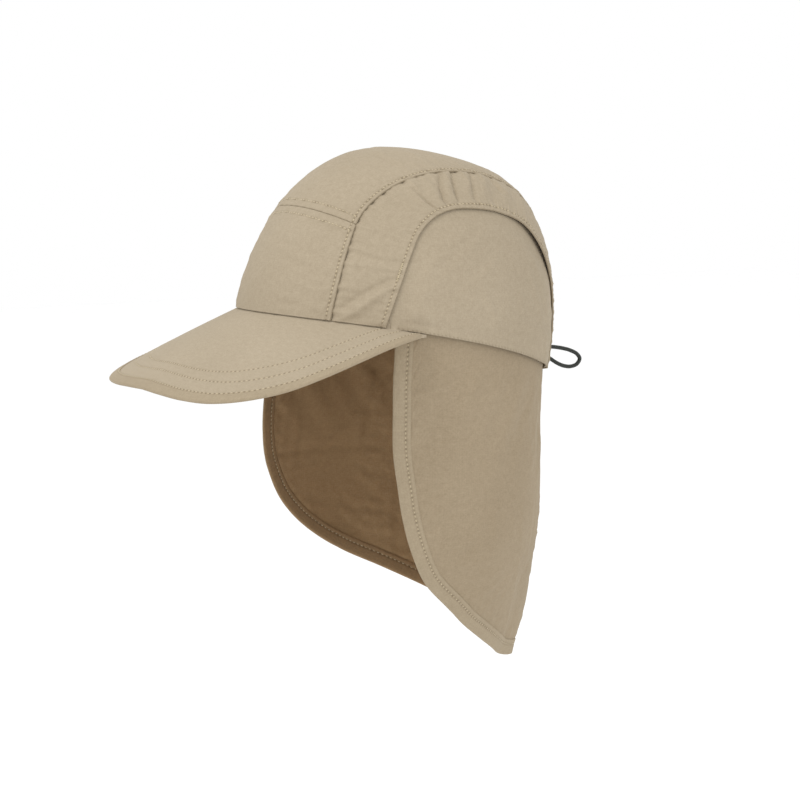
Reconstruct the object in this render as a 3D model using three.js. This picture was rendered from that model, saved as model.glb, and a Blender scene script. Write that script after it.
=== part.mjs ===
// A five-panel cap with a curved brim and a long neck flap, in its worn form.
// Millimetres, +Z up, front towards -Y, wearer's left towards +X.
// The origin is the middle of the head opening, where a head carries the cap.

import * as THREE from 'three';

// Crown: an egg-shaped rim, domed, tipped back so that the front stands higher.
const crownWidth = 166;
const crownFrontReach = 102.2;
const crownBackReach = 97.8;
const crownHeight = 112.4;
const crownTilt = 12.7;
const clothWall = 1.2;

// Clearances between neighbouring layers and along the seams.
const seamGap = 0.4;
const layerGap = 0.45;
const tapeGap = 0.3;

// Side panels reach under the arched bands.
const bandOverlap = 7;
const panelDipWidth = 15;
const panelDipStart = 4.5;
const gatherHeight = 1.7;
const gatherWidth = 0.2;
const ventLift = 2.2;

// Shares of the band's width: how high a gather starts at the seam, where it peaks and where it fades.
const gatherAtSeam = 0.75;
const gatherPeak = 0.36;
const gatherFadeStart = 0.6;
const gatherFadeEnd = 0.97;

// Brim: a stiff sheet with a folded tape round its edge, tucked under the crown's cloth.
// The tape takes at most a share of the brim's depth, and stops at a share of its half spread.
// The brim's face turns from level to its own slope over the first share of the way out.
const brimWidth = 188;
const brimFront = 169;
const brimDrop = 17.8;
const brimEndTurn = -18.5;
const brimWall = 1.7;
const brimCamber = 1.5;
const brimTapeWidth = 6;
const brimTapeMost = 0.6;
const brimTapeEnd = 0.93;
const brimTuck = 1.1;
const brimTurnShare = 0.3;

// Neck flap: one cloth, sewn inside the rim, with a folded tape round its free edge.
const flapWall = 1;
const flapTuck = 6;
const tailDrop = 204;
const flapHalfWidth = 81;
const flapBackReach = 92;
const flapTapeWidth = 10;
const flapHangStart = 35;
const foldDepth = 2.6;
const tapeWall = 0.7;

// Draw cord: a short loop out of a stop on the back of the crown.
const cordDiameter = 2.5;
const cordStopDiameter = 9;
const cordStopLength = 9;
const cordStopReach = 0.92;

// How full the dome is, how steeply it climbs, and how far the rim rises, as a share of the height.
const crownProfile = {
  front: { fullness: 0.76, climb: 1.03, rimRise: -0.003 },
  side: { fullness: 0.74, climb: 1.02, rimRise: 0.044 },
  back: { fullness: 0.6, climb: 1.07, rimRise: -0.021 },
};

// Seam and arch edge of the left band, from the front rim over the side to the back rim.
// Turn is in degrees from the wearer's left towards the back; reach is 0 on top and 1 at the rim.
// Bow is how far the middle panels' cross lines bulge from the seam, as a share of that reach.
const bandStations = [
  { seamTurn: -51, seamReach: 1, archTurn: -32, archReach: 1, bow: -0.223 },
  { seamTurn: -51, seamReach: 0.864, archTurn: -30, archReach: 0.863, bow: -0.18 },
  { seamTurn: -51.2, seamReach: 0.725, archTurn: -28.3, archReach: 0.744, bow: -0.13 },
  { seamTurn: -50.6, seamReach: 0.615, archTurn: -26.4, archReach: 0.653, bow: -0.08 },
  { seamTurn: -44.6, seamReach: 0.499, archTurn: -21.8, archReach: 0.578, bow: -0.045 },
  { seamTurn: -33.7, seamReach: 0.397, archTurn: -14.3, archReach: 0.527, bow: -0.025 },
  { seamTurn: -14, seamReach: 0.309, archTurn: -2.3, archReach: 0.498, bow: -0.01 },
  { seamTurn: 15, seamReach: 0.271, archTurn: 10.6, archReach: 0.488, bow: 0 },
  { seamTurn: 46.3, seamReach: 0.311, archTurn: 24.9, archReach: 0.511, bow: 0.008 },
  { seamTurn: 62.6, seamReach: 0.428, archTurn: 36.4, archReach: 0.589, bow: 0.015 },
  { seamTurn: 68.2, seamReach: 0.571, archTurn: 45.6, archReach: 0.665, bow: 0.02 },
  { seamTurn: 70.2, seamReach: 0.723, archTurn: 50.9, archReach: 0.773, bow: 0.028 },
  { seamTurn: 71.1, seamReach: 0.867, archTurn: 54.2, archReach: 0.89, bow: 0.038 },
  { seamTurn: 71.8, seamReach: 1, archTurn: 56.3, archReach: 1, bow: 0.05 },
];
const lastStation = bandStations.length - 1;
const frontSeamStation = 2.6;
const gatherStartStation = 3.9;
const gatherEndStation = 8.5;

// Ridges of the gathered band: where each starts on the seam, how it leans, and its height share.
const gathers = [
  { station: 4.25, lean: -0.55, height: 0.55 },
  { station: 4.8, lean: -0.75, height: 0.9 },
  { station: 5.3, lean: -0.6, height: 0.75 },
  { station: 5.8, lean: -0.65, height: 1 },
  { station: 6.35, lean: -0.5, height: 0.8 },
  { station: 6.85, lean: -0.55, height: 1 },
  { station: 7.35, lean: -0.1, height: 0.7 },
  { station: 7.85, lean: 0.15, height: 0.6 },
];

// Stretch of the arch edge that stands off as an air vent.
const vent = { start: 6.9, middle: 8.9, end: 11 };

// Brim edge from its end at the rim to the middle of its front.
// Side is a share of half the width, front of the front reach, level of the drop.
const brimEdgeRows = [
  { side: 0.93, front: 0.262, level: 0.63 },
  { side: 0.98, front: 0.379, level: 0.42 },
  { side: 1, front: 0.503, level: 0.08 },
  { side: 0.985, front: 0.627, level: -0.31 },
  { side: 0.936, front: 0.751, level: -0.68 },
  { side: 0.83, front: 0.861, level: -0.92 },
  { side: 0.66, front: 0.941, level: -1.05 },
  { side: 0.447, front: 0.982, level: -1.05 },
  { side: 0.223, front: 0.998, level: -1 },
  { side: 0, front: 1, level: -0.96 },
];

// Hanging form of the flap, by share of the tail drop below the origin.
// Width and back are shares of the half width and the back reach; point sharpens the back.
const flapSections = [
  { fall: -0.15, width: 1, back: 1.01, point: 0 },
  { fall: 0, width: 1, back: 1, point: 0 },
  { fall: 0.2, width: 1, back: 0.972, point: 0 },
  { fall: 0.4, width: 1, back: 0.985, point: 0 },
  { fall: 0.55, width: 0.96, back: 0.993, point: 0.06 },
  { fall: 0.7, width: 0.84, back: 0.985, point: 0.16 },
  { fall: 0.85, width: 0.67, back: 0.975, point: 0.27 },
  { fall: 1, width: 0.5, back: 0.905, point: 0.36 },
];

// Free edge of the flap, down each side from the rim; the tail hangs a little lower on the left.
const flapEdgeStart = -28.5;
const leftEdgeRows = [
  { turn: -28, fall: 0.06 },
  { turn: -28, fall: 0.15 },
  { turn: -28, fall: 0.27 },
  { turn: -26.5, fall: 0.37 },
  { turn: -24.5, fall: 0.46 },
  { turn: -21, fall: 0.55 },
  { turn: -14.5, fall: 0.65 },
  { turn: -5, fall: 0.73 },
  { turn: 8, fall: 0.82 },
  { turn: 25, fall: 0.9 },
  { turn: 45, fall: 0.965 },
  { turn: 66, fall: 0.995 },
];
const rightEdgeRows = [
  { turn: -28.8, fall: 0.06 },
  { turn: -30.2, fall: 0.168 },
  { turn: -31.6, fall: 0.268 },
  { turn: -30.8, fall: 0.366 },
  { turn: -27.3, fall: 0.447 },
  { turn: -21.8, fall: 0.527 },
  { turn: -12.3, fall: 0.612 },
  { turn: 0.7, fall: 0.69 },
  { turn: 18.2, fall: 0.758 },
  { turn: 37, fall: 0.83 },
  { turn: 56, fall: 0.903 },
  { turn: 74, fall: 0.969 },
];

// Soft upright folds of the hanging flap: turn, half width in degrees, share of the fold depth.
const flapFolds = [
  { turn: 12, spread: 9, depth: 0.35 },
  { turn: 44, spread: 8, depth: -0.55 },
  { turn: 66, spread: 9, depth: 0.8 },
  { turn: 104, spread: 11, depth: -0.7 },
  { turn: 131, spread: 9, depth: 0.6 },
  { turn: 160, spread: 10, depth: -0.4 },
];

// Cord route behind the stop, in the middle plane, by hand: y, then z.
const cordRoute = [
  [106.9, -11.5],
  [113, -11.9],
  [119.5, -12.7],
  [126, -13.9],
  [132, -15.6],
  [137.3, -18.2],
  [139.6, -21.4],
  [137.4, -24.6],
  [132.6, -25.9],
  [127, -25.2],
  [121, -22.8],
  [114, -18.6],
  [106.7, -14.9],
];

// Mesh density along and across each piece.
const frontRows = 8;
const backRows = 9;
const gatherSteps = 26;
const middleColumns = 10;
const bandColumns = 5;
const sideColumns = 24;
const sideRows = 5;
const brimHalfColumns = 20;
const brimRows = 5;
const flapColumns = 48;
const flapRows = 8;
const cordSides = 8;
const cordSteps = 30;
const stopSides = 20;

const radians = THREE.MathUtils.degToRad;
const degrees = THREE.MathUtils.radToDeg;
const mix = THREE.MathUtils.lerp;
const ease = THREE.MathUtils.smoothstep;
const crownAxis = new THREE.Vector3(0, Math.sin(radians(crownTilt)), Math.cos(radians(crownTilt)));

function steps(from, to, count) {
  return Array.from({ length: count + 1 }, (_, i) => mix(from, to, i / count));
}

function signedPower(value, power) {
  return Math.sign(value) * Math.abs(value) ** power;
}

// Point on the crown's outer face; side and along are the two shares of the flattened crown.
function crownSurface(side, along) {
  const reach = Math.hypot(side, along);
  const turn = Math.atan2(along, side);
  const climbAngle = (1 - reach) * Math.PI / 2;
  const frontShare = Math.max(0, -Math.sin(turn)) ** 2;
  const backShare = Math.max(0, Math.sin(turn)) ** 2;
  const sideShare = 1 - frontShare - backShare;
  const blend = (key) => crownProfile.front[key] * frontShare
    + crownProfile.side[key] * sideShare + crownProfile.back[key] * backShare;
  const radial = Math.cos(climbAngle) ** blend('fullness');
  const rimLevel = blend('rimRise') * crownHeight;
  const lengthReach = Math.sin(turn) < 0 ? crownFrontReach : crownBackReach;
  const point = new THREE.Vector3(
    crownWidth / 2 * Math.cos(turn) * radial,
    lengthReach * Math.sin(turn) * radial,
    rimLevel + (crownHeight - rimLevel) * signedPower(Math.sin(climbAngle), blend('climb')),
  );
  return point.applyAxisAngle(new THREE.Vector3(1, 0, 0), radians(-crownTilt));
}

// Outward direction of a surface given by two shares, from small differences.
function facing(surface, first, second, outside) {
  const small = 0.004;
  const a = surface(first + small, second).sub(surface(first - small, second));
  const b = surface(first, second + small).sub(surface(first, second - small));
  const normal = a.cross(b).normalize();
  return normal.dot(outside) < 0 ? normal.negate() : normal;
}

// Crown point by turn and reach, moved outwards by a lift, with its outward direction.
function crownSpot(turn, reach, lift = 0) {
  const side = reach * Math.cos(radians(turn));
  const along = reach * Math.sin(radians(turn));
  const point = crownSurface(side, along);
  const outside = point.clone().addScaledVector(crownAxis, crownHeight * (1 - reach) - crownHeight / 4);
  const normal = facing(crownSurface, side, along, outside);
  return { point: point.addScaledVector(normal, lift), normal };
}

function crownShareSpot(side, along, lift = 0) {
  return crownSpot(degrees(Math.atan2(along, side)), Math.hypot(side, along), lift);
}

function curveThrough(rows, turnKey, reachKey) {
  const points = rows.map((row) => new THREE.Vector2(
    row[reachKey] * Math.cos(radians(row[turnKey])),
    row[reachKey] * Math.sin(radians(row[turnKey])),
  ));
  return new THREE.SplineCurve(points);
}

const bandSeam = curveThrough(bandStations, 'seamTurn', 'seamReach');
const archEdge = curveThrough(bandStations, 'archTurn', 'archReach');
const bowCurve = new THREE.SplineCurve(bandStations.map((row, i) => new THREE.Vector2(i, row.bow)));

function polar(curve, station) {
  const spot = curve.getPoint(THREE.MathUtils.clamp(station / lastStation, 0, 1));
  return { turn: degrees(Math.atan2(spot.y, spot.x)), reach: Math.min(1, spot.length()) };
}

// Front panel and top panel share one strip: station runs front to back, across from right to left.
function middleSpot(station, across) {
  const edge = bandSeam.getPoint(THREE.MathUtils.clamp(station / lastStation, 0, 1));
  const bow = bowCurve.getPoint(THREE.MathUtils.clamp(station / lastStation, 0, 1)).y;
  const side = edge.x * across;
  if (Math.abs(bow) < 1e-4) {
    return crownShareSpot(side, edge.y);
  }
  const radius = (edge.x ** 2 + bow ** 2) / (2 * Math.abs(bow));
  const rise = Math.sqrt(radius ** 2 - side ** 2) - Math.sqrt(radius ** 2 - edge.x ** 2);
  return crownShareSpot(side, edge.y + Math.sign(bow) * rise);
}

// Gathers and the lifted vent edge of a band: how far it stands out of the crown's face.
function bandLift(station, across) {
  const crest = Math.sin(Math.PI / 2 * Math.min(2, across / gatherPeak));
  const swell = mix(gatherAtSeam, 1, crest) * (1 - ease(across, gatherFadeStart, gatherFadeEnd));
  const gather = gathers.reduce((sum, fold) => {
    const offset = (station - fold.station - fold.lean * across) / gatherWidth;
    return sum + fold.height * Math.exp(-offset * offset);
  }, 0);
  const open = ease(station, vent.start, vent.middle) * (1 - ease(station, vent.middle, vent.end));
  return gatherHeight * gather * swell + ventLift * open * across ** 2;
}

// Band of the left side: across runs from the seam with the middle panels to the arch edge.
function bandSpot(station, across) {
  const seam = polar(bandSeam, station);
  const arch = polar(archEdge, station);
  const turn = mix(seam.turn, arch.turn, across);
  const reach = mix(seam.reach, arch.reach, across);
  return crownSpot(turn, reach, bandLift(station, across));
}

// Share of a line between two spots that a distance in millimetres makes.
function shareOf(distance, from, to) {
  return distance / from.point.distanceTo(to.point);
}

// Sheet of spots laid out in rows and columns.
function sheetOf(rows, columns, spotAt) {
  const spots = [];
  const faces = [];
  rows.forEach((row, i) => columns.forEach((column, j) => {
    spots.push(spotAt(row, column, i, j));
    if (i > 0 && j > 0) {
      const here = i * columns.length + j;
      const below = here - columns.length;
      faces.push([below - 1, below, here], [below - 1, here, here - 1]);
    }
  }));
  return { spots, faces };
}

// Corner spots that fall together become one, and faces without area go.
function weld(sheet) {
  const known = new Map();
  const spots = [];
  const place = sheet.spots.map((spot) => {
    const key = spot.point.toArray().map((value) => Math.round(value * 500)).join(' ');
    if (!known.has(key)) {
      known.set(key, spots.length);
      spots.push(spot);
    }
    return known.get(key);
  });
  const faces = sheet.faces.map((face) => face.map((index) => place[index]))
    .filter(([a, b, c]) => a !== b && b !== c && c !== a);
  return { spots, faces };
}

// Turns the faces so that they look the way the spots' directions do.
function orient(sheet) {
  const { spots, faces } = sheet;
  let votes = 0;
  faces.forEach(([a, b, c]) => {
    const ab = spots[b].point.clone().sub(spots[a].point);
    const ac = spots[c].point.clone().sub(spots[a].point);
    votes += ab.cross(ac).dot(spots[a].normal);
  });
  return votes >= 0 ? sheet : { spots, faces: faces.map(([a, b, c]) => [a, c, b]) };
}

function geometryOf(points, faces) {
  const geometry = new THREE.BufferGeometry();
  const values = points.flatMap((point) => point.toArray());
  geometry.setAttribute('position', new THREE.Float32BufferAttribute(values, 3));
  geometry.setIndex(faces.flat());
  geometry.computeVertexNormals();
  return geometry;
}

// Closed solid of one thickness under a sheet of spots.
function thicken(looseSheet, wall) {
  const { spots, faces } = orient(weld(looseSheet));
  const count = spots.length;
  const points = spots.map((spot) => spot.point)
    .concat(spots.map((spot) => spot.point.clone().addScaledVector(spot.normal, -wall)));
  const used = new Set(faces.flatMap(([a, b, c]) => [`${a} ${b}`, `${b} ${c}`, `${c} ${a}`]));
  const solid = faces.concat(faces.map(([a, b, c]) => [a + count, c + count, b + count]));
  used.forEach((edge) => {
    const [a, b] = edge.split(' ').map(Number);
    if (!used.has(`${b} ${a}`)) {
      solid.push([b, a, a + count], [b, a + count, b + count]);
    }
  });
  return geometryOf(points, solid);
}

// Tape folded over an edge: each section has its inset spot and its edge spot on the sheet's face.
// Its inner faces are split the same way as the sheet's cells, so that they run side by side.
function foldTape(sections, wall) {
  const rings = sections.map(({ inset, edge, insetWall, edgeWall }) => {
    const outward = edge.point.clone().sub(inset.point).normalize();
    const at = (spot, lift, beyond) => spot.point.clone()
      .addScaledVector(spot.normal, lift).addScaledVector(outward, beyond);
    const near = tapeGap;
    const far = tapeGap + wall;
    return [
      at(inset, far, 0),
      at(edge, far, far),
      at(edge, -edgeWall - far, far),
      at(inset, -insetWall - far, 0),
      at(inset, -insetWall - near, 0),
      at(edge, -edgeWall - near, near),
      at(edge, near, near),
      at(inset, near, 0),
    ];
  });
  const size = 8;
  const faces = [];
  rings.slice(1).forEach((ring, i) => ring.forEach((_, j) => {
    const next = (j + 1) % size;
    const a = i * size + j;
    const b = i * size + next;
    if (j % 4 === 2) {
      faces.push([a, b, a + size], [b, b + size, a + size]);
    } else {
      faces.push([a, b, b + size], [a, b + size, a + size]);
    }
  }));
  const end = (rings.length - 1) * size;
  [[0, 1, 6, 7], [1, 2, 5, 6], [2, 3, 4, 5]].forEach(([a, b, c, d]) => {
    faces.push([a, c, b], [a, d, c]);
    faces.push([end + a, end + b, end + c], [end + a, end + c, end + d]);
  });
  return closedOutwards(rings.flat(), faces);
}

// Geometry with its faces turned outwards, by the sign of the volume they close.
function closedOutwards(points, faces) {
  const volume = faces.reduce((sum, [a, b, c]) => {
    const cross = points[b].clone().cross(points[c]);
    return sum + points[a].dot(cross);
  }, 0);
  return geometryOf(points, volume > 0 ? faces : faces.map(([a, b, c]) => [a, c, b]));
}

// Stations shared by the band and the middle panels, close together where the band is gathered.
const frontStations = steps(0, frontSeamStation, frontRows);
const topStations = [
  ...steps(frontSeamStation, gatherStartStation, 3),
  ...steps(gatherStartStation, gatherEndStation, gatherSteps).slice(1),
  ...steps(gatherEndStation, lastStation, backRows).slice(1),
];
const bandRowStations = [...frontStations, ...topStations.slice(1)];

function middleSheet(stations) {
  return sheetOf(stations, steps(-1, 1, middleColumns), (station, across) => {
    const inset = 1 - shareOf(seamGap / 2, middleSpot(station, 0), middleSpot(station, 1));
    return middleSpot(station, across * inset);
  });
}

// Half the seam gap, as a part of a station, where the front panel meets the top panel.
function seamInset(station) {
  const nearby = 0.05;
  const before = middleSpot(station - nearby, 0);
  const after = middleSpot(station + nearby, 0);
  return 2 * nearby * shareOf(seamGap / 2, before, after);
}

function frontPanel() {
  const stations = [...frontStations.slice(0, -1), frontSeamStation - seamInset(frontSeamStation)];
  return thicken(middleSheet(stations), clothWall);
}

function topPanel() {
  const stations = [frontSeamStation + seamInset(frontSeamStation), ...topStations.slice(1)];
  return thicken(middleSheet(stations), clothWall);
}

function sideBand() {
  const sheet = sheetOf(bandRowStations, steps(0, 1, bandColumns), (station, across) => {
    const inset = shareOf(seamGap / 2, bandSpot(station, 0), bandSpot(station, 1));
    return bandSpot(station, mix(inset, 1, across));
  });
  return thicken(sheet, clothWall);
}

// Side panel under the arch: it dips below the band's edge and comes back level below it.
function sidePanel() {
  const edgeLine = steps(0, lastStation, 90).map((station) => {
    const arch = polar(archEdge, station);
    return crownSpot(arch.turn, arch.reach).point;
  });
  const depth = clothWall + layerGap;
  const openShare = 0.72;
  const hiddenEdge = (station) => {
    const seam = polar(bandSeam, station);
    const arch = polar(archEdge, station);
    const tuck = shareOf(bandOverlap, crownSpot(arch.turn, arch.reach), crownSpot(seam.turn, seam.reach));
    return { turn: mix(arch.turn, seam.turn, tuck), reach: mix(arch.reach, seam.reach, tuck) };
  };
  const first = hiddenEdge(0).turn;
  const last = hiddenEdge(lastStation).turn;
  const rows = [...steps(0, openShare, sideRows), (1 + openShare) / 2, 1];
  const stations = steps(0, lastStation, sideColumns);
  const sheet = sheetOf(stations, rows, (station, climb) => {
    const top = hiddenEdge(station);
    const rimTurn = mix(first, last, station / lastStation);
    const turn = mix(rimTurn, top.turn, climb);
    const reach = mix(1, top.reach, climb);
    const flat = crownSpot(turn, reach);
    const distance = Math.min(...edgeLine.map((point) => point.distanceTo(flat.point)));
    const inside = climb < 1 && station > 0 && station < lastStation;
    const dip = inside ? 1 - ease(distance, panelDipStart, panelDipWidth) : 1;
    return crownSpot(turn, reach, -depth * dip);
  });
  return thicken(sheet, clothWall);
}

// Brim: ruled from the rim's lower edge to the brim's outer edge.
const brimEdge = new THREE.CatmullRomCurve3([
  crownSpot(brimEndTurn, 1).point.addScaledVector(crownAxis, -layerGap),
  ...brimEdgeRows.map((row) => new THREE.Vector3(
    row.side * brimWidth / 2,
    -row.front * brimFront,
    row.level * brimDrop,
  )),
], false, 'centripetal');

function brimSurface(spread, out) {
  const share = THREE.MathUtils.clamp(1 - Math.abs(spread), 0, 1);
  const rim = crownSpot(mix(brimEndTurn, -90, share), 1, -brimTuck).point;
  rim.addScaledVector(crownAxis, -layerGap);
  const point = rim.lerp(brimEdge.getPointAt(share), out);
  point.addScaledVector(crownAxis, brimCamber * Math.sin(Math.PI * out) * share);
  point.x *= Math.sign(spread) || 1;
  return point;
}

function brimSpot(spread, out) {
  const justInside = 0.97;
  const side = Math.min(Math.abs(spread), justInside);
  const face = facing(brimSurface, side, Math.min(out, justInside), crownAxis);
  face.x *= Math.sign(Math.round(spread * 100));
  const normal = crownAxis.clone().lerp(face, ease(out, 0, brimTurnShare)).normalize();
  return { point: brimSurface(spread, out), normal };
}

const brimSpreads = steps(-1, 1, 2 * brimHalfColumns);

function brimTapeInset(spread) {
  const rim = brimSpot(spread, 0);
  const edge = brimSpot(spread, 1);
  const width = rim.point.distanceTo(edge.point);
  return width > 0 ? 1 - Math.min(brimTapeWidth / width, brimTapeMost) : 1;
}

function brim() {
  const edgeRow = 2;
  const rows = [...steps(0, 1, brimRows), edgeRow];
  const sheet = sheetOf(brimSpreads, rows, (spread, row) => {
    const inset = brimTapeInset(spread);
    return brimSpot(spread, row === edgeRow ? 1 : row * inset);
  });
  return thicken(sheet, brimWall);
}

function brimBinding() {
  const sections = brimSpreads.filter((spread) => Math.abs(spread) < brimTapeEnd).map((spread) => ({
    inset: brimSpot(spread, brimTapeInset(spread)),
    edge: brimSpot(spread, 1),
    insetWall: brimWall,
    edgeWall: brimWall,
  }));
  return foldTape(sections, tapeWall);
}

// Neck flap: its outer face by turn and level, hanging from inside the rim.
const flapInset = 2 * (clothWall + layerGap);
const sectionCurve = (key) => new THREE.SplineCurve(
  flapSections.map((row) => new THREE.Vector2(row.fall, row[key])),
);
const flapCurves = { width: sectionCurve('width'), back: sectionCurve('back'), point: sectionCurve('point') };

function sectionValue(key, fall) {
  const rows = flapSections;
  const held = THREE.MathUtils.clamp(fall, rows[0].fall, rows[rows.length - 1].fall);
  const index = Math.max(1, rows.findIndex((row) => row.fall >= held));
  const step = (held - rows[index - 1].fall) / (rows[index].fall - rows[index - 1].fall);
  return flapCurves[key].getPoint((index - 1 + step) / (rows.length - 1)).y;
}

function rimSpot(turn) {
  return crownSpot(turn, 1, -flapInset);
}

function foldLift(turn, drop) {
  const grown = ease(drop, 20, 150);
  return flapFolds.reduce((sum, fold) => {
    const offset = (turn - fold.turn) / fold.spread;
    return sum + fold.depth * foldDepth * grown * Math.exp(-offset * offset);
  }, 0);
}

function flapSurface(turn, level) {
  const rim = rimSpot(turn);
  const drop = rim.point.z - level;
  if (drop <= 0) {
    const reach = 1 + drop / crownHeight / (Math.PI / 2);
    return crownSpot(turn, reach, -flapInset).point;
  }
  const fall = -level / tailDrop;
  const angle = radians(turn);
  const narrow = 1 + sectionValue('point', fall);
  const width = flapHalfWidth * sectionValue('width', fall) + foldLift(turn, drop);
  const back = flapBackReach * sectionValue('back', fall) + foldLift(turn, drop);
  const length = Math.sin(angle) < 0 ? crownFrontReach : back;
  const hung = new THREE.Vector3(
    width * signedPower(Math.cos(angle), narrow),
    length * Math.sin(angle),
    level,
  );
  const upright = new THREE.Vector3(rim.point.x, rim.point.y, level);
  return upright.lerp(hung, ease(drop, 0, flapHangStart));
}

function flapSpot(turn, level) {
  const scaled = (first, second) => flapSurface(first * 100, second * 100);
  const point = flapSurface(turn, level);
  const outside = new THREE.Vector3(point.x, point.y, 0);
  return { point, normal: facing(scaled, turn / 100, level / 100, outside) };
}

// The flap's free edge in a flat sheet: turn as a length, and level.
const lengthPerDegree = Math.PI * flapHalfWidth / 180;
const flapEdge = new THREE.SplineCurve([
  new THREE.Vector2(flapEdgeStart * lengthPerDegree, rimSpot(flapEdgeStart).point.z),
  ...leftEdgeRows.map((row) => new THREE.Vector2(row.turn * lengthPerDegree, -row.fall * tailDrop)),
  new THREE.Vector2(90 * lengthPerDegree, -tailDrop),
  ...rightEdgeRows.toReversed()
    .map((row) => new THREE.Vector2((180 - row.turn) * lengthPerDegree, -row.fall * tailDrop)),
  new THREE.Vector2((180 - flapEdgeStart) * lengthPerDegree, rimSpot(flapEdgeStart).point.z),
]);

function flapEdgeSpots(share) {
  const spot = flapEdge.getPointAt(share);
  const along = flapEdge.getTangentAt(share);
  const edge = { turn: spot.x / lengthPerDegree, level: spot.y };
  const trial = flapSpot(
    edge.turn - along.y * flapTapeWidth / lengthPerDegree,
    edge.level + along.x * flapTapeWidth,
  );
  const edgeSpot = flapSpot(edge.turn, edge.level);
  const stretch = flapTapeWidth / edgeSpot.point.distanceTo(trial.point);
  const inset = {
    turn: edge.turn - along.y * flapTapeWidth * stretch / lengthPerDegree,
    level: edge.level + along.x * flapTapeWidth * stretch,
  };
  return { edge, inset };
}

const flapShares = steps(0, 1, flapColumns);
const flapEdges = flapShares.map(flapEdgeSpots);

function neckFlap() {
  const firstTurn = flapEdges[0].inset.turn;
  const lastTurn = flapEdges[flapColumns].inset.turn;
  const tuckRow = -1;
  const edgeRow = 2;
  const rows = [tuckRow, ...steps(0, 1, flapRows), edgeRow];
  const sheet = sheetOf(flapShares, rows, (share, row, i) => {
    const { edge, inset } = flapEdges[i];
    const rimTurn = mix(firstTurn, lastTurn, share);
    const rimLevel = rimSpot(rimTurn).point.z;
    if (row === tuckRow) {
      return flapSpot(rimTurn, rimLevel + flapTuck);
    }
    if (row === edgeRow) {
      return flapSpot(edge.turn, edge.level);
    }
    return flapSpot(mix(rimTurn, inset.turn, row), mix(rimLevel, inset.level, row));
  });
  return thicken(sheet, flapWall);
}

function flapBinding() {
  const sections = flapEdges.slice(1, -1).map(({ edge, inset }) => ({
    inset: flapSpot(inset.turn, inset.level),
    edge: flapSpot(edge.turn, edge.level),
    insetWall: flapWall,
    edgeWall: flapWall,
  }));
  return foldTape(sections, tapeWall);
}

// Cord stop and cord loop at the middle of the back.
function cordStop() {
  const seat = crownSpot(90, cordStopReach, layerGap);
  const stop = new THREE.CylinderGeometry(cordStopDiameter / 2, cordStopDiameter / 2, cordStopLength, stopSides);
  stop.translate(0, cordStopLength / 2, 0);
  const turn = new THREE.Quaternion().setFromUnitVectors(new THREE.Vector3(0, 1, 0), seat.normal);
  return { geometry: stop, position: seat.point, turn };
}

function cordLoop() {
  const path = new THREE.CatmullRomCurve3(cordRoute.map(([y, z]) => new THREE.Vector3(0, y, z)));
  const section = new THREE.Shape(new THREE.EllipseCurve(0, 0, cordDiameter / 2, cordDiameter / 2)
    .getPoints(cordSides).slice(0, -1));
  return new THREE.ExtrudeGeometry(section, { extrudePath: path, steps: cordSteps });
}

const cloth = new THREE.MeshStandardMaterial({ color: 0xb8a88a, roughness: 0.85, metalness: 0 });
const brimCloth = new THREE.MeshStandardMaterial({ color: 0xbeae93, roughness: 0.85, metalness: 0 });
const flapCloth = new THREE.MeshStandardMaterial({ color: 0xb3a385, roughness: 0.88, metalness: 0 });
const tapeCloth = new THREE.MeshStandardMaterial({ color: 0xaf9f82, roughness: 0.88, metalness: 0 });
const cordCover = new THREE.MeshStandardMaterial({ color: 0x20241f, roughness: 0.7, metalness: 0 });
const stopPlastic = new THREE.MeshStandardMaterial({ color: 0x1b1d1b, roughness: 0.5, metalness: 0 });

const cap = new THREE.Group();

function add(name, geometry, material) {
  const mesh = new THREE.Mesh(geometry, material);
  mesh.name = name;
  cap.add(mesh);
  return mesh;
}

// The right side is the left side mirrored, with its faces turned back outwards.
function mirrored(geometry) {
  const copy = geometry.clone().scale(-1, 1, 1);
  const index = Array.from(copy.index.array);
  for (let i = 0; i < index.length; i += 3) {
    [index[i + 1], index[i + 2]] = [index[i + 2], index[i + 1]];
  }
  copy.setIndex(index);
  copy.computeVertexNormals();
  return copy;
}

const band = sideBand();
const panel = sidePanel();
const stop = cordStop();

add('front_panel', frontPanel(), cloth);
add('top_panel', topPanel(), cloth);
add('side_band_left', band, cloth);
add('side_band_right', mirrored(band), cloth);
add('side_panel_left', panel, cloth);
add('side_panel_right', mirrored(panel), cloth);
add('brim', brim(), brimCloth);
add('brim_binding', brimBinding(), tapeCloth);
add('neck_flap', neckFlap(), flapCloth);
add('flap_binding', flapBinding(), tapeCloth);
const stopMesh = add('cord_stop', stop.geometry, stopPlastic);
stopMesh.position.copy(stop.position);
stopMesh.quaternion.copy(stop.turn);
add('cord_loop', cordLoop(), cordCover);

export default cap;
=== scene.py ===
# Sun cap with a hanging neck flap: woven nylon in five panels, a stiff brim, bound edges and a draw cord.
# Lengths in the dictionaries are millimetres, as in the cap's source; meshes are made in metres.
import bpy
import math
import numpy as np
from mathutils import Matrix, Vector


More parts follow.
